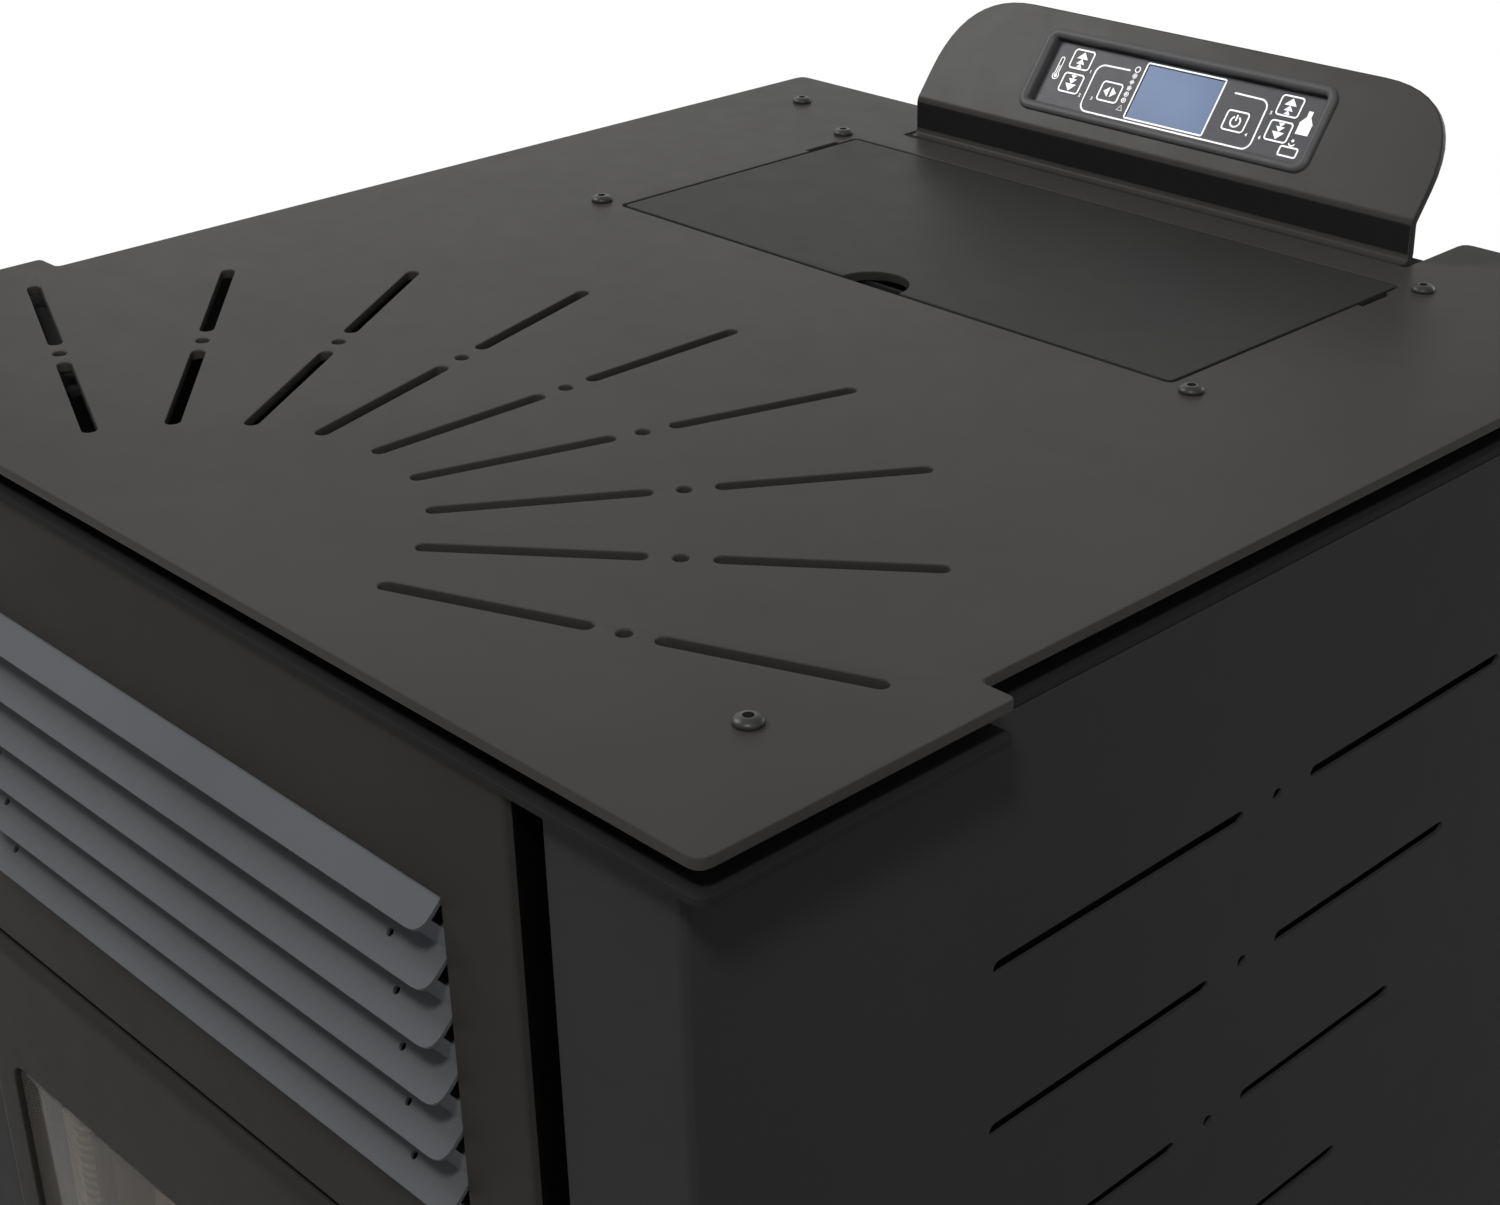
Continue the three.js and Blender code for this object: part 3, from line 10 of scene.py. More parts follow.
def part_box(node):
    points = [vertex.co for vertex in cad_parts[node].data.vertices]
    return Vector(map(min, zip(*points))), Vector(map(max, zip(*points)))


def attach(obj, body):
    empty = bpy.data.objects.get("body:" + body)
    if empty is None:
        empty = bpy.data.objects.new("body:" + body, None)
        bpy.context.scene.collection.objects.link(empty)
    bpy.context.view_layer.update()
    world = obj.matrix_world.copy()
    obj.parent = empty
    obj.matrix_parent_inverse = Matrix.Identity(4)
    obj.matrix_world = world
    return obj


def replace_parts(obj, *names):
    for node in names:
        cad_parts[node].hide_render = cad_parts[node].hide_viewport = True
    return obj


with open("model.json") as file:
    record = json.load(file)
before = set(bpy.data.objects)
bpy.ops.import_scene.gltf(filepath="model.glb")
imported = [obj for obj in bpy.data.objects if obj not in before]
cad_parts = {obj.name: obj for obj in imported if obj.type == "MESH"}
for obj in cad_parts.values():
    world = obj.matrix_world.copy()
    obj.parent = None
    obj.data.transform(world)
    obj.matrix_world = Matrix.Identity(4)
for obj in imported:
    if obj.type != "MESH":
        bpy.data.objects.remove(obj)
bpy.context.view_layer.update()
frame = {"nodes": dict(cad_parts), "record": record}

mm = 0.001
scene = bpy.context.scene
nodes = frame["nodes"]
print("frame loaded:", len(nodes), "nodes")


# small tools for meshes
def finishPiece(name, bm, material, body, smoothAngle=35, recalc=True):
    # turns a bmesh into an object that rides on a body, smooth except across its sharp edges
    if recalc:
        bmesh.ops.recalc_face_normals(bm, faces=bm.faces)
    for face in bm.faces:
        face.smooth = True
    for edge in bm.edges:
        if len(edge.link_faces) == 2 and edge.calc_face_angle(0) > math.radians(smoothAngle):
            edge.smooth = False
    mesh = bpy.data.meshes.new(name)
    bm.to_mesh(mesh)
    bm.free()
    piece = bpy.data.objects.new(name, mesh)
    scene.collection.objects.link(piece)
    mesh.materials.append(material)
    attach(piece, body)
    return piece


def bodyOf(nodeName):
    for name, members in frame["record"]["behaviour"]["bodies"].items():
        if nodeName in members:
            return name
    return "cabinet"


def slotOf(nodeName):
    for entry in frame["record"]["subparts"]:
        if entry["node"] == nodeName:
            return entry["material_slot"]
    return None


# angles in degrees: edges flatter than flatTo are dissolved, edges sharper than sharpFrom are eased
easing = {"weld": 0.00002, "flatTo": 0.6, "sharpFrom": 30, "segments": 2, "weldAfter": 0.00001, "smoothTo": 40}


def dressNode(nodeName, pieceName, material, width):
    # a copy of a node with its sharp edges eased, which stands for the node
    bm = bmesh.new()
    bm.from_mesh(nodes[nodeName].data)
    bmesh.ops.remove_doubles(bm, verts=bm.verts, dist=easing["weld"])
    bmesh.ops.dissolve_limit(bm, angle_limit=math.radians(easing["flatTo"]), verts=bm.verts, edges=bm.edges)
    bmesh.ops.connect_verts_concave(bm, faces=bm.faces)
    sharpAngle = math.radians(easing["sharpFrom"])
    edges = [e for e in bm.edges if len(e.link_faces) == 2 and e.calc_face_angle(0) > sharpAngle]
    bmesh.ops.bevel(bm, geom=edges, offset=width, offset_type="OFFSET", segments=easing["segments"],
                    profile=0.5, affect="EDGES", clamp_overlap=False, material=-1)
    bmesh.ops.remove_doubles(bm, verts=bm.verts, dist=easing["weldAfter"])
    piece = finishPiece(pieceName, bm, material, bodyOf(nodeName),
                        smoothAngle=easing["smoothTo"], recalc=False)
    even = piece.modifiers.new("evenShading", "WEIGHTED_NORMAL")
    even.mode = "FACE_AREA"
    even.weight = 100
    even.keep_sharp = True
    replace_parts(piece, nodeName)
    return piece


def revolve(bm, profile, steps=64):
    # spins a list of (radius, height) points round Z into a closed shape
    verts = [bm.verts.new((r, 0, z)) for r, z in profile]
    edges = [bm.edges.new(pair) for pair in zip(verts, verts[1:])]
    bmesh.ops.spin(bm, geom=verts + edges, cent=(0, 0, 0), axis=(0, 0, 1), angle=2 * math.pi,
                   steps=steps, use_merge=True)
    bmesh.ops.remove_doubles(bm, verts=bm.verts, dist=0.000005)


# materials
def tone(red, green, blue):
    # a screen colour, 0 to 255, as the linear value a shader takes
    def linear(value):
        value = value / 255
        return value / 12.92 if value <= 0.04045 else ((value + 0.055) / 1.055) ** 2.4
    return (linear(red), linear(green), linear(blue), 1.0)


def startMaterial(name):
    material = bpy.data.materials.new(name)
    material.use_nodes = True
    tree = material.node_tree
    shader = tree.nodes["Principled BSDF"]
    place = tree.nodes.new("ShaderNodeTexCoord").outputs["Object"]
    return material, tree, shader, place


def addNoise(tree, place, scale, detail=2.0, stretch=None):
    if stretch:
        mapping = tree.nodes.new("ShaderNodeMapping")
        mapping.inputs["Scale"].default_value = stretch
        tree.links.new(place, mapping.inputs["Vector"])
        place = mapping.outputs["Vector"]
    noise = tree.nodes.new("ShaderNodeTexNoise")
    noise.inputs["Scale"].default_value = scale
    noise.inputs["Detail"].default_value = detail
    tree.links.new(place, noise.inputs["Vector"])
    return noise.outputs["Fac"]


def addRamp(tree, factor, stops):
    ramp = tree.nodes.new("ShaderNodeValToRGB")
    for index, (position, colour) in enumerate(stops):
        point = ramp.color_ramp.elements[index] if index < 2 else ramp.color_ramp.elements.new(position)
        point.position = position
        point.color = colour
    tree.links.new(factor, ramp.inputs["Fac"])
    return ramp.outputs["Color"]


def addRange(tree, factor, low, high):
    spread = tree.nodes.new("ShaderNodeMapRange")
    spread.inputs["To Min"].default_value = low
    spread.inputs["To Max"].default_value = high
    tree.links.new(factor, spread.inputs["Value"])
    return spread.outputs["Result"]


def addBump(tree, shader, height, strength, distance):
    bump = tree.nodes.new("ShaderNodeBump")
    bump.inputs["Strength"].default_value = strength
    bump.inputs["Distance"].default_value = distance
    tree.links.new(height, bump.inputs["Height"])
    tree.links.new(bump.outputs["Normal"], shader.inputs["Normal"])


def paint(name, colour, shine=0.3, spread=0.06, roughness=0.48, grain=1500, bump=0.12, metallic=0.0):
    # powder coat: a fine orange-peel grain, slow tone changes and a little dust in the roughness
    material, tree, shader, place = startMaterial(name)
    light = tone(*colour)
    low = tuple(c * (1 - spread) for c in light[:3]) + (1,)
    high = tuple(c * (1 + spread) for c in light[:3]) + (1,)
    cloud = addNoise(tree, place, 7, 3)
    tree.links.new(addRamp(tree, cloud, [(0.35, low), (0.65, high)]), shader.inputs["Base Color"])
    speck = addNoise(tree, place, grain, 2)
    tree.links.new(addRange(tree, addNoise(tree, place, 60, 4), roughness - 0.05, roughness + 0.05),
                   shader.inputs["Roughness"])
    addBump(tree, shader, speck, bump, 0.0002)
    shader.inputs["Metallic"].default_value = metallic
    shader.inputs["Specular IOR Level"].default_value = shine
    return material


def sheetMetal(name, colour, roughness=0.35, brush=(1, 1, 30), metallic=0.9):
    # bare or zinc-coated steel with long fine brush lines
    material, tree, shader, place = startMaterial(name)
    base = tone(*colour)
    dark = tuple(c * 0.82 for c in base[:3]) + (1,)
    lines = addNoise(tree, place, 40, 4, brush)
    tree.links.new(addRamp(tree, lines, [(0.3, dark), (0.7, base)]), shader.inputs["Base Color"])
    tree.links.new(addRange(tree, lines, roughness - 0.08, roughness + 0.1), shader.inputs["Roughness"])
    addBump(tree, shader, lines, 0.1, 0.0002)
    shader.inputs["Metallic"].default_value = metallic
    return material


def ironOrBoard(name, colour, roughness, grain, bump, soot=0.4):
    # rough cast iron or pale heat-proof board, darker in clouds where soot gathers
    material, tree, shader, place = startMaterial(name)
    base = tone(*colour)
    dark = tuple(c * (1 - soot) for c in base[:3]) + (1,)
    stain = addNoise(tree, place, 14, 5)
    tree.links.new(addRamp(tree, stain, [(0.34, dark), (0.62, base)]), shader.inputs["Base Color"])
    tree.links.new(addRange(tree, stain, roughness - 0.06, roughness + 0.06), shader.inputs["Roughness"])
    addBump(tree, shader, addNoise(tree, place, grain, 4), bump, 0.0006)
    return material


def plasticSkin(name, colour, roughness, grain=2500, bump=0.05, shine=0.3):
    material, tree, shader, place = startMaterial(name)
    shader.inputs["Specular IOR Level"].default_value = shine
    base = tone(*colour)
    soft = tuple(c * 0.92 for c in base[:3]) + (1,)
    tree.links.new(addRamp(tree, addNoise(tree, place, 90, 3), [(0.4, soft), (0.6, base)]),
                   shader.inputs["Base Color"])
    tree.links.new(addRange(tree, addNoise(tree, place, 300, 2), roughness - 0.03, roughness + 0.03),
                   shader.inputs["Roughness"])
    addBump(tree, shader, addNoise(tree, place, grain, 2), bump, 0.0001)
    return material


def smokedGlass(name):
    # heat-proof glass, a little browner where soot has dried in clouds
    material, tree, shader, place = startMaterial(name)
    sooty, clean = (0.39, 0.36, 0.325, 1), (0.53, 0.495, 0.46, 1)
    stain = addNoise(tree, place, 9, 4)
    tree.links.new(addRamp(tree, stain, [(0.35, sooty), (0.7, clean)]), shader.inputs["Base Color"])
    tree.links.new(addRange(tree, stain, 0.02, 0.09), shader.inputs["Roughness"])
    shader.inputs["Transmission Weight"].default_value = 0.94
    shader.inputs["IOR"].default_value = 1.05
    shader.inputs["Specular IOR Level"].default_value = 0.02
    return material


def ropeWeave(name, colour):
    # braided rope: two crossing bands of strands
    material, tree, shader, place = startMaterial(name)
    wave = tree.nodes.new("ShaderNodeTexWave")
    wave.bands_direction = "DIAGONAL"
    wave.inputs["Scale"].default_value = 130
    wave.inputs["Distortion"].default_value = 3
    tree.links.new(place, wave.inputs["Vector"])
    base = tone(*colour)
    dark = tuple(c * 0.55 for c in base[:3]) + (1,)
    strand = wave.outputs["Fac"]
    tree.links.new(addRamp(tree, strand, [(0.3, dark), (0.7, base)]), shader.inputs["Base Color"])
    tree.links.new(addRange(tree, strand, 0.8, 0.95), shader.inputs["Roughness"])
    addBump(tree, shader, strand, 0.6, 0.0012)
    return material


def litScreen(name):
    # the blue-grey display: slow clouds of tone, faintly lit from inside, with a fine grain in its gloss
    material, tree, shader, place = startMaterial(name)
    dim, lit = tone(50, 69, 98), tone(67, 88, 120)
    colour = addRamp(tree, addNoise(tree, place, 22, 1), [(0.3, dim), (0.7, lit)])
    tree.links.new(colour, shader.inputs["Base Color"])
    tree.links.new(colour, shader.inputs["Emission Color"])
    tree.links.new(addRange(tree, addNoise(tree, place, 1800, 1), 0.28, 0.36), shader.inputs["Roughness"])
    shader.inputs["Emission Strength"].default_value = 0.1
    shader.inputs["Specular IOR Level"].default_value = 0.1
    return material


finishes = {
    "top_paint": paint("topPaint", (42, 41, 40), shine=0.018, roughness=0.36),
    "lid_paint": paint("lidPaint", (35, 35, 34), shine=0.012, roughness=0.36),
    "front_paint": paint("frontPaint", (31, 30, 28), shine=0.02),
    "side_paint": paint("sidePaint", (35, 35, 35), shine=0.015, spread=0.03, roughness=0.5, bump=0.06),
    "frame_paint": paint("framePaint", (20, 20, 20), shine=0.12, roughness=0.6),
    "louvre_paint": paint("louvrePaint", (62, 63, 65), shine=0.05),
    "console_paint": paint("consolePaint", (42, 41, 40), shine=0.05, roughness=0.36),
    # painted shade: the console's foot is the top sheet's own paint, made darker where it stands in shade
    "flange_shade": paint("flangeShade", (22, 22, 22), shine=0.02, roughness=0.36),
    # painted shade: near-black on the sheets' returns into the grooves, the door's top face and the inner frame,
    # where shade falls
    "groove_shade": paint("grooveShade", (3, 3, 3), shine=0.01, roughness=0.6),
    # painted shade: the deck plate under the top's edge and the hopper's rim seen through the lid's notch
    "deck_shade": paint("deckShade", (25, 25, 25), shine=0.01, roughness=0.6),
    "screw_black": paint("screwBlack", (32, 32, 31), shine=0.14, roughness=0.4, metallic=0.1, bump=0.04),
    "bezel_plastic": plasticSkin("bezelPlastic", (57, 57, 58), 0.5, shine=0.12),
    "keypad_film": plasticSkin("keypadFilm", (40, 40, 43), 0.42, shine=0.12),
    "key_film": plasticSkin("keyFilm", (40, 40, 43), 0.42, shine=0.12),
    "display": litScreen("display"),
    "door_glass": smokedGlass("doorGlass"),
    "rope_seal": ropeWeave("ropeSeal", (150, 145, 134)),
    "handle_steel": sheetMetal("handleSteel", (150, 150, 152), 0.3),
    "firebox_iron": ironOrBoard("fireboxIron", (60, 57, 54), 0.75, 260, 0.15),
    "lining": ironOrBoard("lining", (156, 147, 138), 0.9, 420, 0.12, soot=0.35),
    "zinc_sheet": sheetMetal("zincSheet", (118, 120, 122), 0.46, (1, 30, 1)),
    "bare_steel": sheetMetal("bareSteel", (140, 140, 142), 0.34, (30, 1, 1)),
    "motor_black": paint("motorBlack", (40, 40, 42), roughness=0.5),
    "foot_rubber": plasticSkin("footRubber", (34, 34, 34), 0.85, 900, 0.15),
    "socket_plastic": plasticSkin("socketPlastic", (36, 36, 38), 0.45),
}
printWhite = plasticSkin("printWhite", (226, 226, 226), 0.5, 3000, 0.02)

for nodeName, node in nodes.items():
    node.data.materials.clear()
    node.data.materials.append(finishes[slotOf(nodeName)])
print("materials made:", len(finishes))

# eased edges on the folded sheets
easedSheets = {
    "top_plate": ("topSheet", 0.0007),
    "deck_plate": ("deckSheet", 0.0005),
    "hopper_lid": ("lidSheet", 0.0006),
    "right_side_panel": ("rightSheet", 0.0004),
    "left_side_panel": ("leftSheet", 0.0004),
    "front_fascia": ("fasciaSheet", 0.0004),
    "louvre_grille": ("grilleSheet", 0.00014),
    "door_frame": ("doorSheet", 0.0012),
    "ash_drawer": ("drawerSheet", 0.001),
    "back_panel": ("backSheet", 0.0004),
    "base_pan": ("panSheet", 0.0004),
    "front_frame": ("innerFrame", 0.0005),
    "glass_retainer": ("glassRing", 0.0005),
    "door_gasket": ("ropeSeal", 0.0022),
    "door_handle": ("leverHandle", 0.0014),
    "firebox": ("fireShell", 0.0006),
    "fire_lining": ("fireBoards", 0.001),
    "baffle": ("baffleBoard", 0.001),
    "pot_support": ("potCradle", 0.0008),
    "burn_pot": ("potCasting", 0.0012),
    "hopper": ("hopperBin", 0.0004),
    "auger_motor": ("augerGearbox", 0.0008),
    "exhaust_motor": ("exhaustMotorCan", 0.0006),
    "mains_inlet": ("mainsSocket", 0.0005),
    "mains_switch": ("rockerKey", 0.0004),
}
for nodeName, (pieceName, width) in easedSheets.items():
    dressNode(nodeName, pieceName, finishes[slotOf(nodeName)], width)

print("sheets eased:", len(easedSheets))

# areas with a finish of their own, by place and facing: painted shade on the sheets' returns into the grooves,
# the door's top face, the inner frame, the console's foot, the deck plate and the hopper's rim, and a satin face
# on the console
areaFinishes = {
    "topSheet": (
        # painted shade on the console's foot
        ("flange_shade", lambda at, n: n.y < -0.97 and at.y > 0.2 and 0.9525 < at.z < 0.985),
        ("console_paint", lambda at, n: n.y < -0.7 and n.z > 0.55 and at.z > 0.96),
    ),
    # painted shade on the fascia's returns into the grooves
    "fasciaSheet": (("groove_shade", lambda at, n: abs(n.x) > 0.9 and abs(at.x) > 0.19),),
    "doorSheet": (
        # painted shade on the door's returns into the grooves
        ("groove_shade", lambda at, n: abs(n.x) > 0.9 and abs(at.x) > 0.19),
        # painted shade on the door's top face under the fascia
        ("groove_shade", lambda at, n: n.z > 0.9 and at.z > 0.7),
    ),
    # painted shade on the side panels' returns into the grooves
    "rightSheet": (("groove_shade", lambda at, n: abs(n.x) > 0.9 and abs(at.x) < 0.21),),
    "leftSheet": (("groove_shade", lambda at, n: abs(n.x) > 0.9 and abs(at.x) < 0.21),),
    # painted shade over the whole inner frame, which sits back in shade
    "innerFrame": (("groove_shade", lambda at, n: True),),
    # painted shade over the whole deck plate
    "deckSheet": (("deck_shade", lambda at, n: True),),
    # painted shade on the hopper's rim
    "hopperBin": (("deck_shade", lambda at, n: at.z > 0.93),),
}
for pieceName, areas in areaFinishes.items():
    mesh = bpy.data.objects[pieceName].data
    for finishName, inArea in areas:
        mesh.materials.append(finishes[finishName])
        for face in mesh.polygons:
            if inArea(face.center, face.normal):
                face.material_index = len(mesh.materials) - 1
print("second finishes on:", len(areaFinishes), "sheets")

# button-head screws: a domed head on a short brim, a socket and a shank
screw = {
    "count": 8, "headRadius": 4.75 * mm, "headHeight": 2.75 * mm, "brim": 0.16, "domeTo": 66, "domeStep": 6,
    "socketRadius": 1.75 * mm, "socketDepth": 1.9 * mm, "shankRadius": 2.5 * mm, "shankLength": 12 * mm,
    "facets": 48,
}
for index in range(1, screw["count"] + 1):
    low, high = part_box(f"top_screw_{index}")
    centre = (low + high) / 2
    seatLevel = high.z - screw["headHeight"]
    bm = bmesh.new()
    dome = []
    for angle in range(0, screw["domeTo"], screw["domeStep"]):
        share = screw["brim"] + (1 - screw["brim"]) * math.sin(math.radians(angle))
        dome.append((screw["headRadius"] * math.cos(math.radians(angle)), screw["headHeight"] * share))
    rimLevel = dome[-1][1]
    floorLevel = rimLevel - screw["socketDepth"]
    shank = [(0, -screw["shankLength"]), (screw["shankRadius"], -screw["shankLength"]), (screw["shankRadius"], 0)]
    socket = [(screw["socketRadius"], rimLevel), (screw["socketRadius"], floorLevel), (0, floorLevel)]
    revolve(bm, shank + [(screw["headRadius"], 0)] + dome + socket, screw["facets"])
    bmesh.ops.translate(bm, verts=bm.verts, vec=(centre.x, centre.y, seatLevel))
    piece = finishPiece(f"screwHead{index}", bm, finishes["screw_black"], "cabinet")
    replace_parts(piece, f"top_screw_{index}")
print("screws made")

# the console's face, on which the keypad is printed
consoleFace = {"lean": 38, "origin": (0, 0.240, 0.967), "faceLevel": -2.4 * mm, "printHeight": 0.06 * mm}
leanAngle = math.radians(consoleFace["lean"])
upSlope = Vector((0, math.sin(leanAngle), math.cos(leanAngle)))
outSlope = Vector((0, -math.cos(leanAngle), math.sin(leanAngle)))
consolePlace = Matrix((
    (1, upSlope.x, outSlope.x, consoleFace["origin"][0]),
    (0, upSlope.y, outSlope.y, consoleFace["origin"][1]),
    (0, upSlope.z, outSlope.z, consoleFace["origin"][2]),
    (0, 0, 0, 1),
))


def roundedPath(x0, x1, y0, y1, radius, steps=6):
    # the points of a rectangle with round corners, in millimetres
    points = []
    for cx, cy, start in ((x1 - radius, y1 - radius, 0), (x0 + radius, y1 - radius, 90),
                          (x0 + radius, y0 + radius, 180), (x1 - radius, y0 + radius, 270)):
        for step in range(steps + 1):
            angle = math.radians(start + 90 * step / steps)
            points.append((cx + radius * math.cos(angle), cy + radius * math.sin(angle)))
    return points


def arcPath(cx, cy, radius, start, end, steps=24):
    angles = [math.radians(start + (end - start) * i / steps) for i in range(steps + 1)]
    return [(cx + radius * math.cos(angle), cy + radius * math.sin(angle)) for angle in angles]


def addStroke(bm, points, width, closed=False):
    # a flat printed line along points, as a curve made a mesh
    curve = bpy.data.curves.new("stroke", "CURVE")
    curve.dimensions = "3D"
    curve.bevel_depth = width / 2 * mm
    curve.bevel_resolution = 1
    curve.use_fill_caps = True
    spline = curve.splines.new("POLY")
    spline.points.add(len(points) - 1)
    for point, (x, y) in zip(spline.points, points):
        point.co = (x * mm, y * mm, 0, 1)
    spline.use_cyclic_u = closed
    holder = bpy.data.objects.new("stroke", curve)
    scene.collection.objects.link(holder)
    mesh = holder.to_mesh()
    mesh.transform(Matrix.Diagonal((1, 1, consoleFace["printHeight"] / (width / 2 * mm), 1)))
    bm.from_mesh(mesh)
    holder.to_mesh_clear()
    bpy.data.objects.remove(holder)
    bpy.data.curves.remove(curve)


def addPatch(bm, cx, cy, radius, segments, turn=0, squeeze=(1, 1)):
    # a filled dot or triangle of the print
    verts = bmesh.ops.create_cone(bm, cap_ends=True, segments=segments, radius1=radius * mm, radius2=radius * mm,
                                  depth=2 * consoleFace["printHeight"])["verts"]
    bmesh.ops.rotate(bm, verts=verts, cent=(0, 0, 0), matrix=Matrix.Rotation(math.radians(turn), 3, "Z"))
    bmesh.ops.scale(bm, verts=verts, vec=(squeeze[0], squeeze[1], 1))
    bmesh.ops.translate(bm, verts=verts, vec=(cx * mm, cy * mm, 0))


def addDigit(bm, text, cx, cy, size):
    # a small printed number
    letters = bpy.data.curves.new("digit", "FONT")
    letters.body = text
    letters.size = size * mm
    letters.align_x = "CENTER"
    letters.align_y = "CENTER"
    letters.extrude = consoleFace["printHeight"]
    letters.offset = 0.04 * mm
    holder = bpy.data.objects.new("digit", letters)
    scene.collection.objects.link(holder)
    mesh = holder.to_mesh()
    mesh.transform(Matrix.Translation((cx * mm, cy * mm, 0)))
    bm.from_mesh(mesh)
    holder.to_mesh_clear()
    bpy.data.objects.remove(holder)
    bpy.data.curves.remove(letters)


def printPiece(name, bm, body):
    lift = Matrix.Translation((0, 0, consoleFace["faceLevel"] + consoleFace["printHeight"] * 0.6))
    bmesh.ops.transform(bm, matrix=consolePlace @ lift, verts=bm.verts)
    return finishPiece(name, bm, printWhite, body)


# the pane lies almost flush in the door's window; depths are measured from the door's front face
pane = {
    "left": -171.7, "right": 171.7, "low": 292.3, "high": 649.7, "corner": 9.7,
    "front": 2.4, "back": 12.2, "ease": 0.7, "nodeFront": 8.3,
}
low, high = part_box("door_glass")
doorFront = low.y - pane["nodeFront"] * mm
bm = bmesh.new()
outline = roundedPath(pane["left"], pane["right"], pane["low"], pane["high"], pane["corner"], steps=8)
verts = [bm.verts.new((x * mm, doorFront + pane["front"] * mm, z * mm)) for x, z in outline]
grown = bmesh.ops.extrude_face_region(bm, geom=[bm.faces.new(verts)])["geom"]
bmesh.ops.translate(bm, verts=[item for item in grown if isinstance(item, bmesh.types.BMVert)],
                    vec=(0, (pane["back"] - pane["front"]) * mm, 0))
rims = [edge for edge in bm.edges if abs(edge.verts[0].co.y - edge.verts[1].co.y) < 1e-6]
bmesh.ops.bevel(bm, geom=rims, offset=pane["ease"] * mm, offset_type="OFFSET", segments=2, profile=0.5,
                affect="EDGES", clamp_overlap=True, material=-1)
piece = finishPiece("doorPane", bm, finishes["door_glass"], bodyOf("door_glass"))
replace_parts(piece, "door_glass")
print("pane set")

# the raised ring round the keypad: its inner and outer outline and the section between them
ring = {
    "inner": (-77.3, 77.5, 13.2, 45.6, 1.8), "outer": (-82.6, 82.6, 8.4, 50.1, 7.0), "cornerSteps": 10,
    "section": ((0, -2.35), (0, 0.2), (0.03, 0.6), (0.12, 1.15), (0.3, 1.7), (0.52, 1.95), (0.74, 1.75),
                (0.9, 1.25), (0.98, 0.6), (1.0, 0.1), (0.97, 0.03), (0.1, 0.03), (0.1, -2.35), (0, -2.35)),
}


def ringLoop(share, level):
    # the points of the ring's outline, a share of the way from the inner one to the outer one
    outline = [a + (b - a) * share for a, b in zip(ring["inner"], ring["outer"])]
    return [Vector((x * mm, y * mm, level * mm)) for x, y in roundedPath(*outline, ring["cornerSteps"])]


bm = bmesh.new()
points = ringLoop(*ring["section"][0])
verts = [bm.verts.new(point) for point in points]
edges = [bm.edges.new(pair) for pair in zip(verts, verts[1:] + verts[:1])]
for share, level in ring["section"][1:]:
    grown = bmesh.ops.extrude_edge_only(bm, edges=edges)["geom"]
    fresh = [item for item in grown if isinstance(item, bmesh.types.BMVert)]
    edges = [item for item in grown if isinstance(item, bmesh.types.BMEdge)]
    target = ringLoop(share, level)
    for vert in fresh:
        nearest = min(range(len(points)), key=lambda i: (points[i] - vert.co).length)
        vert.co = target[nearest]
    points = target
bmesh.ops.remove_doubles(bm, verts=bm.verts, dist=0.000002)
bmesh.ops.transform(bm, matrix=consolePlace, verts=bm.verts)
piece = finishPiece("keypadRing", bm, finishes["bezel_plastic"], "cabinet")
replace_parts(piece, "console_bezel")

# the film reaches under the ring: the points within the band at its lower and upper edge are moved
film = {"lower": 1.7 * mm, "raise": 0.9 * mm, "band": 0.4 * mm}
bm = bmesh.new()
bm.from_mesh(nodes["keypad"].data)
bmesh.ops.remove_doubles(bm, verts=bm.verts, dist=easing["weld"])
bmesh.ops.transform(bm, matrix=consolePlace.inverted(), verts=bm.verts)
lowEdge = min(v.co.y for v in bm.verts)
highEdge = max(v.co.y for v in bm.verts)
lowVerts = [v for v in bm.verts if v.co.y < lowEdge + film["band"]]
highVerts = [v for v in bm.verts if v.co.y > highEdge - film["band"]]
bmesh.ops.translate(bm, verts=lowVerts, vec=(0, -film["lower"], 0))
bmesh.ops.translate(bm, verts=highVerts, vec=(0, film["raise"], 0))
bmesh.ops.transform(bm, matrix=consolePlace, verts=bm.verts)
piece = finishPiece("keypadSheet", bm, finishes["keypad_film"], "cabinet", recalc=False)
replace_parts(piece, "keypad")

# the print, in millimetres across and up the console's face
keypadPrint = {
    "line": 0.8, "fineLine": 0.5, "keyWidth": 11.6, "keyHeight": 9.4, "keyCorner": 1.5,
    "display": (-22.4, 22.2, 16.0, 43.9), "receiver": (63.8, 73, 15.9, 20.2), "beam": (68.5, 22.6),
    "thermometer": (-70.2, 28.2), "house": (71.0, 29.6), "states": -26.6, "digitSize": 2.3,
    "keys": {
        "key_heat_up": (-59.4, 38.4), "key_heat_down": (-59.4, 26.2), "key_set": (-36, 26.2),
        "key_power": (36, 26.2), "key_fan_up": (59.4, 38.4), "key_fan_down": (59.4, 26.2),
    },
    "digits": {
        "1": (-51.6, 33.6), "2": (-51.6, 21.4), "3": (-44.3, 21.2),
        "4": (44.3, 21.2), "5": (51.6, 33.6), "6": (51.6, 21.4),
    },
}
line, fineLine = keypadPrint["line"], keypadPrint["fineLine"]


def addArrows(bm, cx, cy, direction):
    # three stacked triangles, the largest at the pointed end
    turn = 0 if direction > 0 else 180
    for offset, radius in ((1.5, 3.3), (-1.4, 2.4), (-3.4, 1.7)):
        addPatch(bm, cx, cy + direction * offset, radius, 3, turn, (1.12, 0.7))


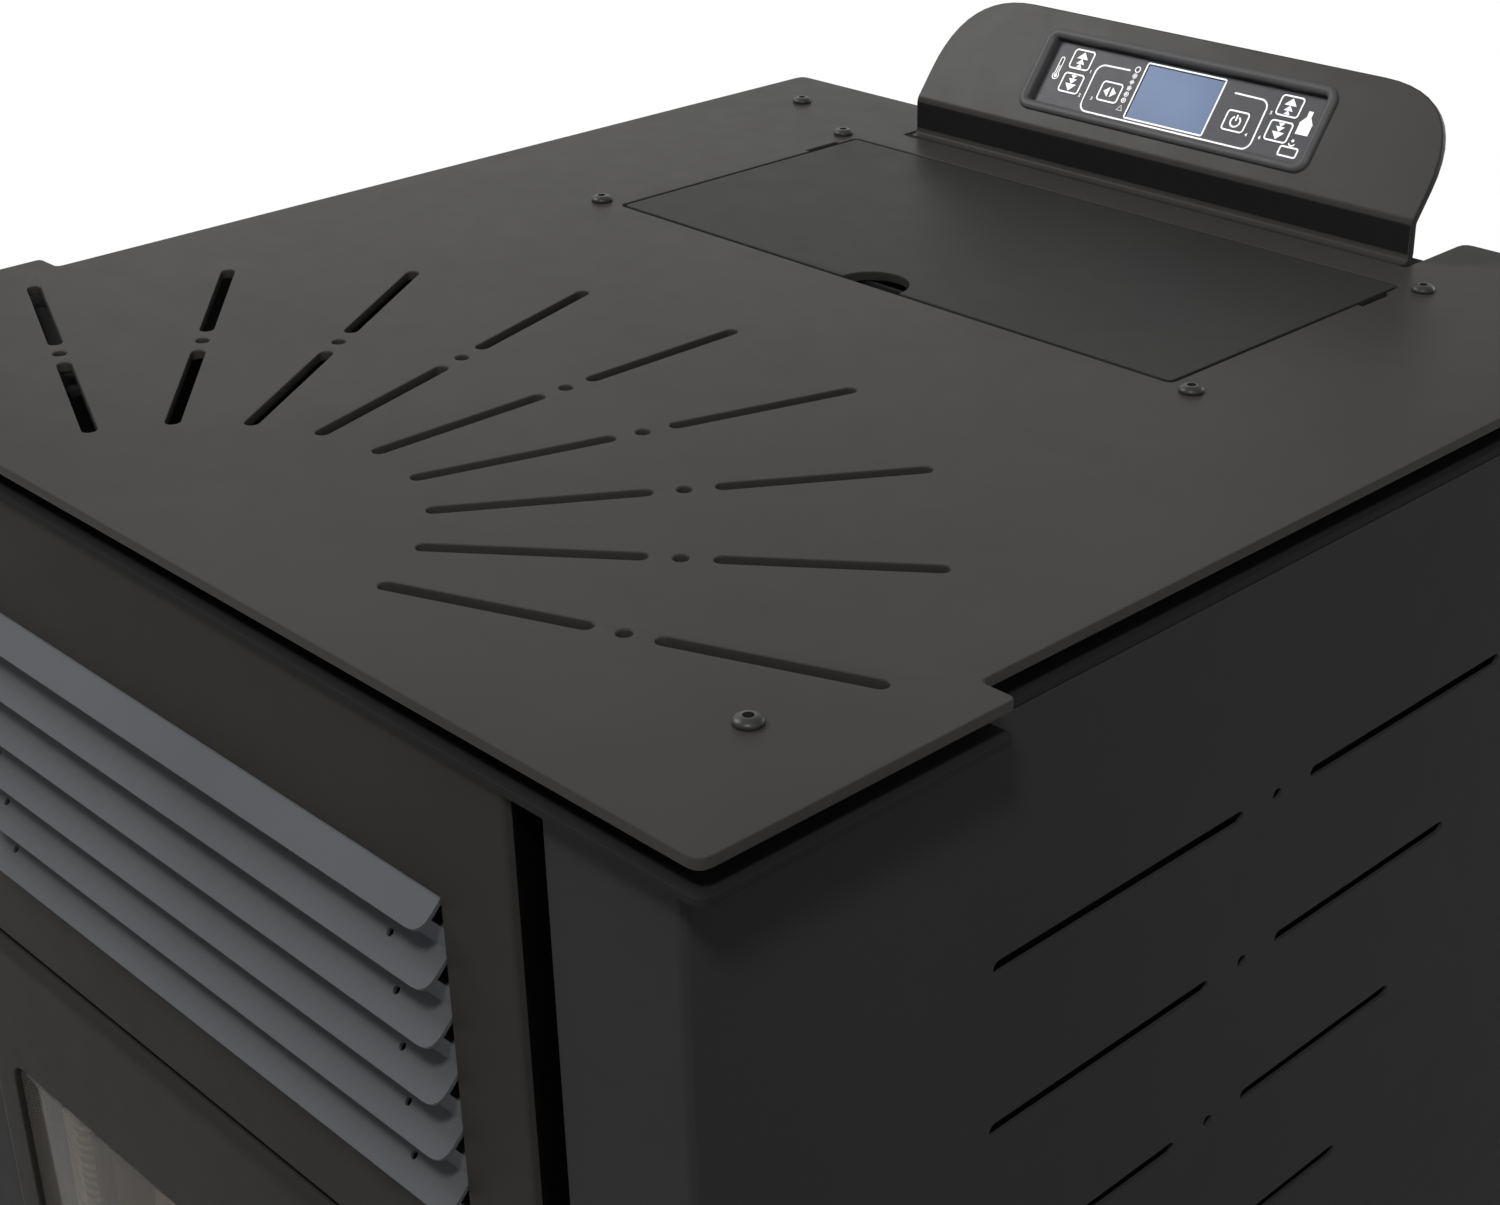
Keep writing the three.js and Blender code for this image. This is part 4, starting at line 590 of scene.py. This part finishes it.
for nodeName, (cx, cy) in keypadPrint["keys"].items():
    bm = bmesh.new()
    w, h = keypadPrint["keyWidth"] / 2, keypadPrint["keyHeight"] / 2
    addStroke(bm, roundedPath(cx - w, cx + w, cy - h, cy + h, keypadPrint["keyCorner"]), line, closed=True)
    if nodeName.endswith("_up"):
        addArrows(bm, cx, cy, 1)
    elif nodeName.endswith("_down"):
        addArrows(bm, cx, cy, -1)
    elif nodeName == "key_set":
        for side in (-1, 1):
            addPatch(bm, cx + side * 1.7, cy, 2.3, 3, -90 * side, (0.85, 1.25))
    else:
        addStroke(bm, arcPath(cx, cy - 0.2, 2.5, 120, 420), line)
        addStroke(bm, [(cx, cy + 0.2), (cx, cy + 3.1)], line)
    printPiece(nodeName.replace("key_", "mark_"), bm, nodeName)

bm = bmesh.new()
addStroke(bm, roundedPath(*keypadPrint["display"], 0.8, 3), line, closed=True)
# the two lines that lead from the keys round the display
leftLoop = [(-30.4, 38.5), (-44, 38.3)] + arcPath(-44.5, 33.8, 4.5, 95, 180, 8) + [(-48.8, 18.7)] \
    + arcPath(-44.5, 18.7, 4.2, 180, 268, 8)
rightLoop = arcPath(44.5, 18.7, 4.2, -88, 0, 8) + [(48.4, 33.5)] + arcPath(44, 34.2, 4.5, 0, 88, 8) \
    + [(29.2, 38.9)]
addStroke(bm, leftLoop + rightLoop, line)
# receiver window with its beam
addStroke(bm, roundedPath(*keypadPrint["receiver"], 0.8, 3), line, closed=True)
x, y = keypadPrint["beam"]
addStroke(bm, arcPath(x, y, 1.6, 200, 340, 8), 0.6)
addPatch(bm, x, y + 0.8, 0.7, 12)
# thermometer: tube, bulb, and the column in it
x, y = keypadPrint["thermometer"]
addStroke(bm, [(x - 1, y + 1.4), (x - 1, y + 8.4)] + arcPath(x, y + 8.6, 1.0, 180, 0, 8) + [(x + 1, y + 1.4)],
          fineLine)
addStroke(bm, arcPath(x, y, 1.7, 125, 415, 16), fineLine)
addPatch(bm, x, y, 0.9, 16)
addStroke(bm, [(x, y + 0.4), (x, y + 5.3)], 0.45)
# little house for the room fan: walls, roof, chimney
x, y = keypadPrint["house"]
for rise, radius, sides, turn, squeeze in ((0, 4.6, 4, 45, (1.0, 0.85)), (4.0, 4.1, 3, 0, (1.0, 0.8)),
                                           (6.6, 1.6, 4, 45, (1.0, 1.7))):
    addPatch(bm, x, y + rise, radius, sides, turn, squeeze)
# a column of small state symbols beside the display
x = keypadPrint["states"]
addStroke(bm, arcPath(x, 39.6, 1.35, 0, 360, 16), fineLine, closed=True)
for level, sides in ((36.3, 6), (33.2, 4), (30.1, 5), (27.0, 6), (23.9, 8)):
    addStroke(bm, arcPath(x, level, 1.15, 0, 360, sides)[:-1], 0.42, closed=True)
    addPatch(bm, x, level, 0.5, 8)
addStroke(bm, arcPath(x, 19.6, 1.7, 90, 450, 3)[:-1], 0.45, closed=True)
for text, (x, y) in keypadPrint["digits"].items():
    addDigit(bm, text, x, y, keypadPrint["digitSize"])
printPiece("keypadMarks", bm, "cabinet")
print("keypad printed")

# pipe stubs at the back: piece, outer and inner radius, facets
pipes = {
    "flue_pipe": ("fluePipe", 40 * mm, 38 * mm, 96),
    "intake_pipe": ("intakePipe", 25 * mm, 23 * mm, 72),
}
lip = 0.5 * mm
for nodeName, (pieceName, outer, inner, steps) in pipes.items():
    low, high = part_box(nodeName)
    middle = (low + high) / 2
    bm = bmesh.new()
    length = high.y - low.y
    revolve(bm, [(inner, 0), (outer, 0), (outer, length - lip), (outer - lip, length), (inner + lip, length),
                 (inner, length - lip), (inner, 0)], steps)
    bmesh.ops.rotate(bm, verts=bm.verts, cent=(0, 0, 0), matrix=Matrix.Rotation(-math.pi / 2, 3, "X"))
    bmesh.ops.translate(bm, verts=bm.verts, vec=(middle.x, low.y, middle.z))
    piece = finishPiece(pieceName, bm, finishes[slotOf(nodeName)], bodyOf(nodeName))
    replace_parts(piece, nodeName)

# feet: a rubber pad with a sloping shoulder, a neck and a threaded stud
foot = {
    "radius": 20 * mm, "soleEase": 1.5 * mm, "pad": 7 * mm, "padEase": 1 * mm, "shoulder": (14.4 * mm, 11.5 * mm),
    "neck": 10 * mm, "neckFrom": (13.5 * mm, 15 * mm), "height": 28 * mm, "stud": 5 * mm, "facets": 48,
}
for nodeName in ("foot_front_left", "foot_front_right", "foot_back_left", "foot_back_right"):
    low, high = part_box(nodeName)
    middle = (low + high) / 2
    bm = bmesh.new()
    radius, neck, stud, top = foot["radius"], foot["neck"], foot["stud"], foot["height"]
    sole = [(0, 0), (radius - foot["soleEase"], 0), (radius, foot["soleEase"])]
    pad = [(radius, foot["pad"] - foot["padEase"]), (radius - foot["padEase"], foot["pad"]), foot["shoulder"]]
    stem = [(neck + 1 * mm, foot["neckFrom"][0]), (neck, foot["neckFrom"][1]), (neck, top), (stud, top)]
    revolve(bm, sole + pad + stem + [(stud, high.z), (0, high.z)], foot["facets"])
    bmesh.ops.translate(bm, verts=bm.verts, vec=(middle.x, middle.y, 0))
    pieceName = nodeName.replace("foot", "glide")
    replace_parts(finishPiece(pieceName, bm, finishes["foot_rubber"], "cabinet"), nodeName)
print("round parts made")

# studio: the floor's tone fades to white between clearFrom and clearTo, in metres from the object
studio = {
    "floorTone": 0.64, "floorHalf": 14, "clearFrom": 0.9, "clearTo": 1.7, "skyLight": 0.2, "aim": (0, 0, 0.8),
    "lamps": {
        "windowLamp": {"at": (-1.9, 1.6, 2.5), "size": (2.2, 2.2), "power": 16},
        "keyLamp": {"at": (-1.85, -0.78, 2.75), "size": (0.9, 0.9), "power": 74},
        "roofLamp": {"at": (0.95, -1.15, 2.6), "size": (0.3, 0.3), "power": 46},
        "lowLamp": {"at": (-0.5, -2.5, 0.55), "size": (1.3, 1.0), "power": 14},
        "backLamp": {"at": (0.5, 2.8, 1.1), "size": (1.6, 1.6), "power": 26},
        "sideLamp": {"at": (2.8, -0.5, 2.0), "size": (2.0, 2.0), "power": 18},
    },
}


def whiteForViewer(tree):
    # 1 to the eye, in gloss and through glass, 0 to everything else
    path = tree.nodes.new("ShaderNodeLightPath")
    seen = path.outputs["Is Camera Ray"]
    for rayKind in ("Is Glossy Ray", "Is Transmission Ray"):
        either = tree.nodes.new("ShaderNodeMath")
        either.operation = "MAXIMUM"
        tree.links.new(seen, either.inputs[0])
        tree.links.new(path.outputs[rayKind], either.inputs[1])
        seen = either.outputs[0]
    return seen


world = bpy.data.worlds.new("studioWorld")
world.use_nodes = True
scene.world = world
tree = world.node_tree
sky = tree.nodes["Background"]
sky.inputs["Color"].default_value = (1, 1, 1, 1)
sky.inputs["Strength"].default_value = studio["skyLight"]
bright = tree.nodes.new("ShaderNodeBackground")
bright.inputs["Color"].default_value = (1, 1, 1, 1)
bright.inputs["Strength"].default_value = 1.0
mix = tree.nodes.new("ShaderNodeMixShader")
tree.links.new(whiteForViewer(tree), mix.inputs[0])
tree.links.new(sky.outputs[0], mix.inputs[1])
tree.links.new(bright.outputs[0], mix.inputs[2])
tree.links.new(mix.outputs[0], tree.nodes["World Output"].inputs["Surface"])

bm = bmesh.new()
bmesh.ops.create_grid(bm, x_segments=1, y_segments=1, size=studio["floorHalf"])
mesh = bpy.data.meshes.new("floor")
bm.to_mesh(mesh)
bm.free()
floor = bpy.data.objects.new("floor", mesh)
scene.collection.objects.link(floor)
material, tree, shader, place = startMaterial("floorPale")
shader.inputs["Roughness"].default_value = 0.9
shader.inputs["Specular IOR Level"].default_value = 0.1
pale = (studio["floorTone"],) * 3 + (1,)
paler = (studio["floorTone"] * 1.01,) * 3 + (1,)
cloud = addNoise(tree, place, 3, 3)
tree.links.new(addRamp(tree, cloud, [(0.4, pale), (0.6, paler)]), shader.inputs["Base Color"])
glow = tree.nodes.new("ShaderNodeEmission")
glow.inputs["Strength"].default_value = 1.0
distance = tree.nodes.new("ShaderNodeVectorMath")
distance.operation = "LENGTH"
tree.links.new(place, distance.inputs[0])
fade = tree.nodes.new("ShaderNodeMapRange")
fade.inputs["From Min"].default_value = studio["clearFrom"]
fade.inputs["From Max"].default_value = studio["clearTo"]
tree.links.new(distance.outputs["Value"], fade.inputs["Value"])
product = tree.nodes.new("ShaderNodeMath")
product.operation = "MULTIPLY"
tree.links.new(fade.outputs["Result"], product.inputs[0])
tree.links.new(whiteForViewer(tree), product.inputs[1])
mix = tree.nodes.new("ShaderNodeMixShader")
tree.links.new(product.outputs[0], mix.inputs[0])
tree.links.new(shader.outputs[0], mix.inputs[1])
tree.links.new(glow.outputs[0], mix.inputs[2])
tree.links.new(mix.outputs[0], tree.nodes["Material Output"].inputs["Surface"])
mesh.materials.append(material)

for name, lamp in studio["lamps"].items():
    light = bpy.data.lights.new(name, "AREA")
    light.shape = "RECTANGLE"
    light.size, light.size_y = lamp["size"]
    light.energy = lamp["power"]
    holder = bpy.data.objects.new(name, light)
    scene.collection.objects.link(holder)
    holder.location = lamp["at"]
    toAim = Vector(studio["aim"]) - holder.location
    holder.rotation_euler = toAim.to_track_quat("-Z", "Y").to_euler()

# the photograph's viewing angle: place, and the picture's right, down and forward as directions
cameraSet = {
    "at": (0.6693, -0.6153, 1.2806), "lens": 58.596, "sensor": 36, "shiftX": -0.0667, "near": 0.01, "far": 100,
    "right": (0.70726, 0.70694, -0.00556), "down": (0.31249, -0.31967, -0.89452),
    "forward": (-0.63414, 0.63091, -0.44700),
}
cameraData = bpy.data.cameras.new("photoCamera")
cameraData.lens = cameraSet["lens"]
cameraData.sensor_width = cameraSet["sensor"]
cameraData.sensor_fit = "HORIZONTAL"
cameraData.shift_x = cameraSet["shiftX"]
cameraData.clip_start = cameraSet["near"]
cameraData.clip_end = cameraSet["far"]
camera = bpy.data.objects.new("photoCamera", cameraData)
scene.collection.objects.link(camera)
up = [-c for c in cameraSet["down"]]
back = [-c for c in cameraSet["forward"]]
turn = Matrix((cameraSet["right"], up, back)).transposed()
camera.matrix_world = Matrix.Translation(cameraSet["at"]) @ turn.to_4x4()
scene.camera = camera
scene.view_settings.view_transform = "Standard"
print("studio lit")
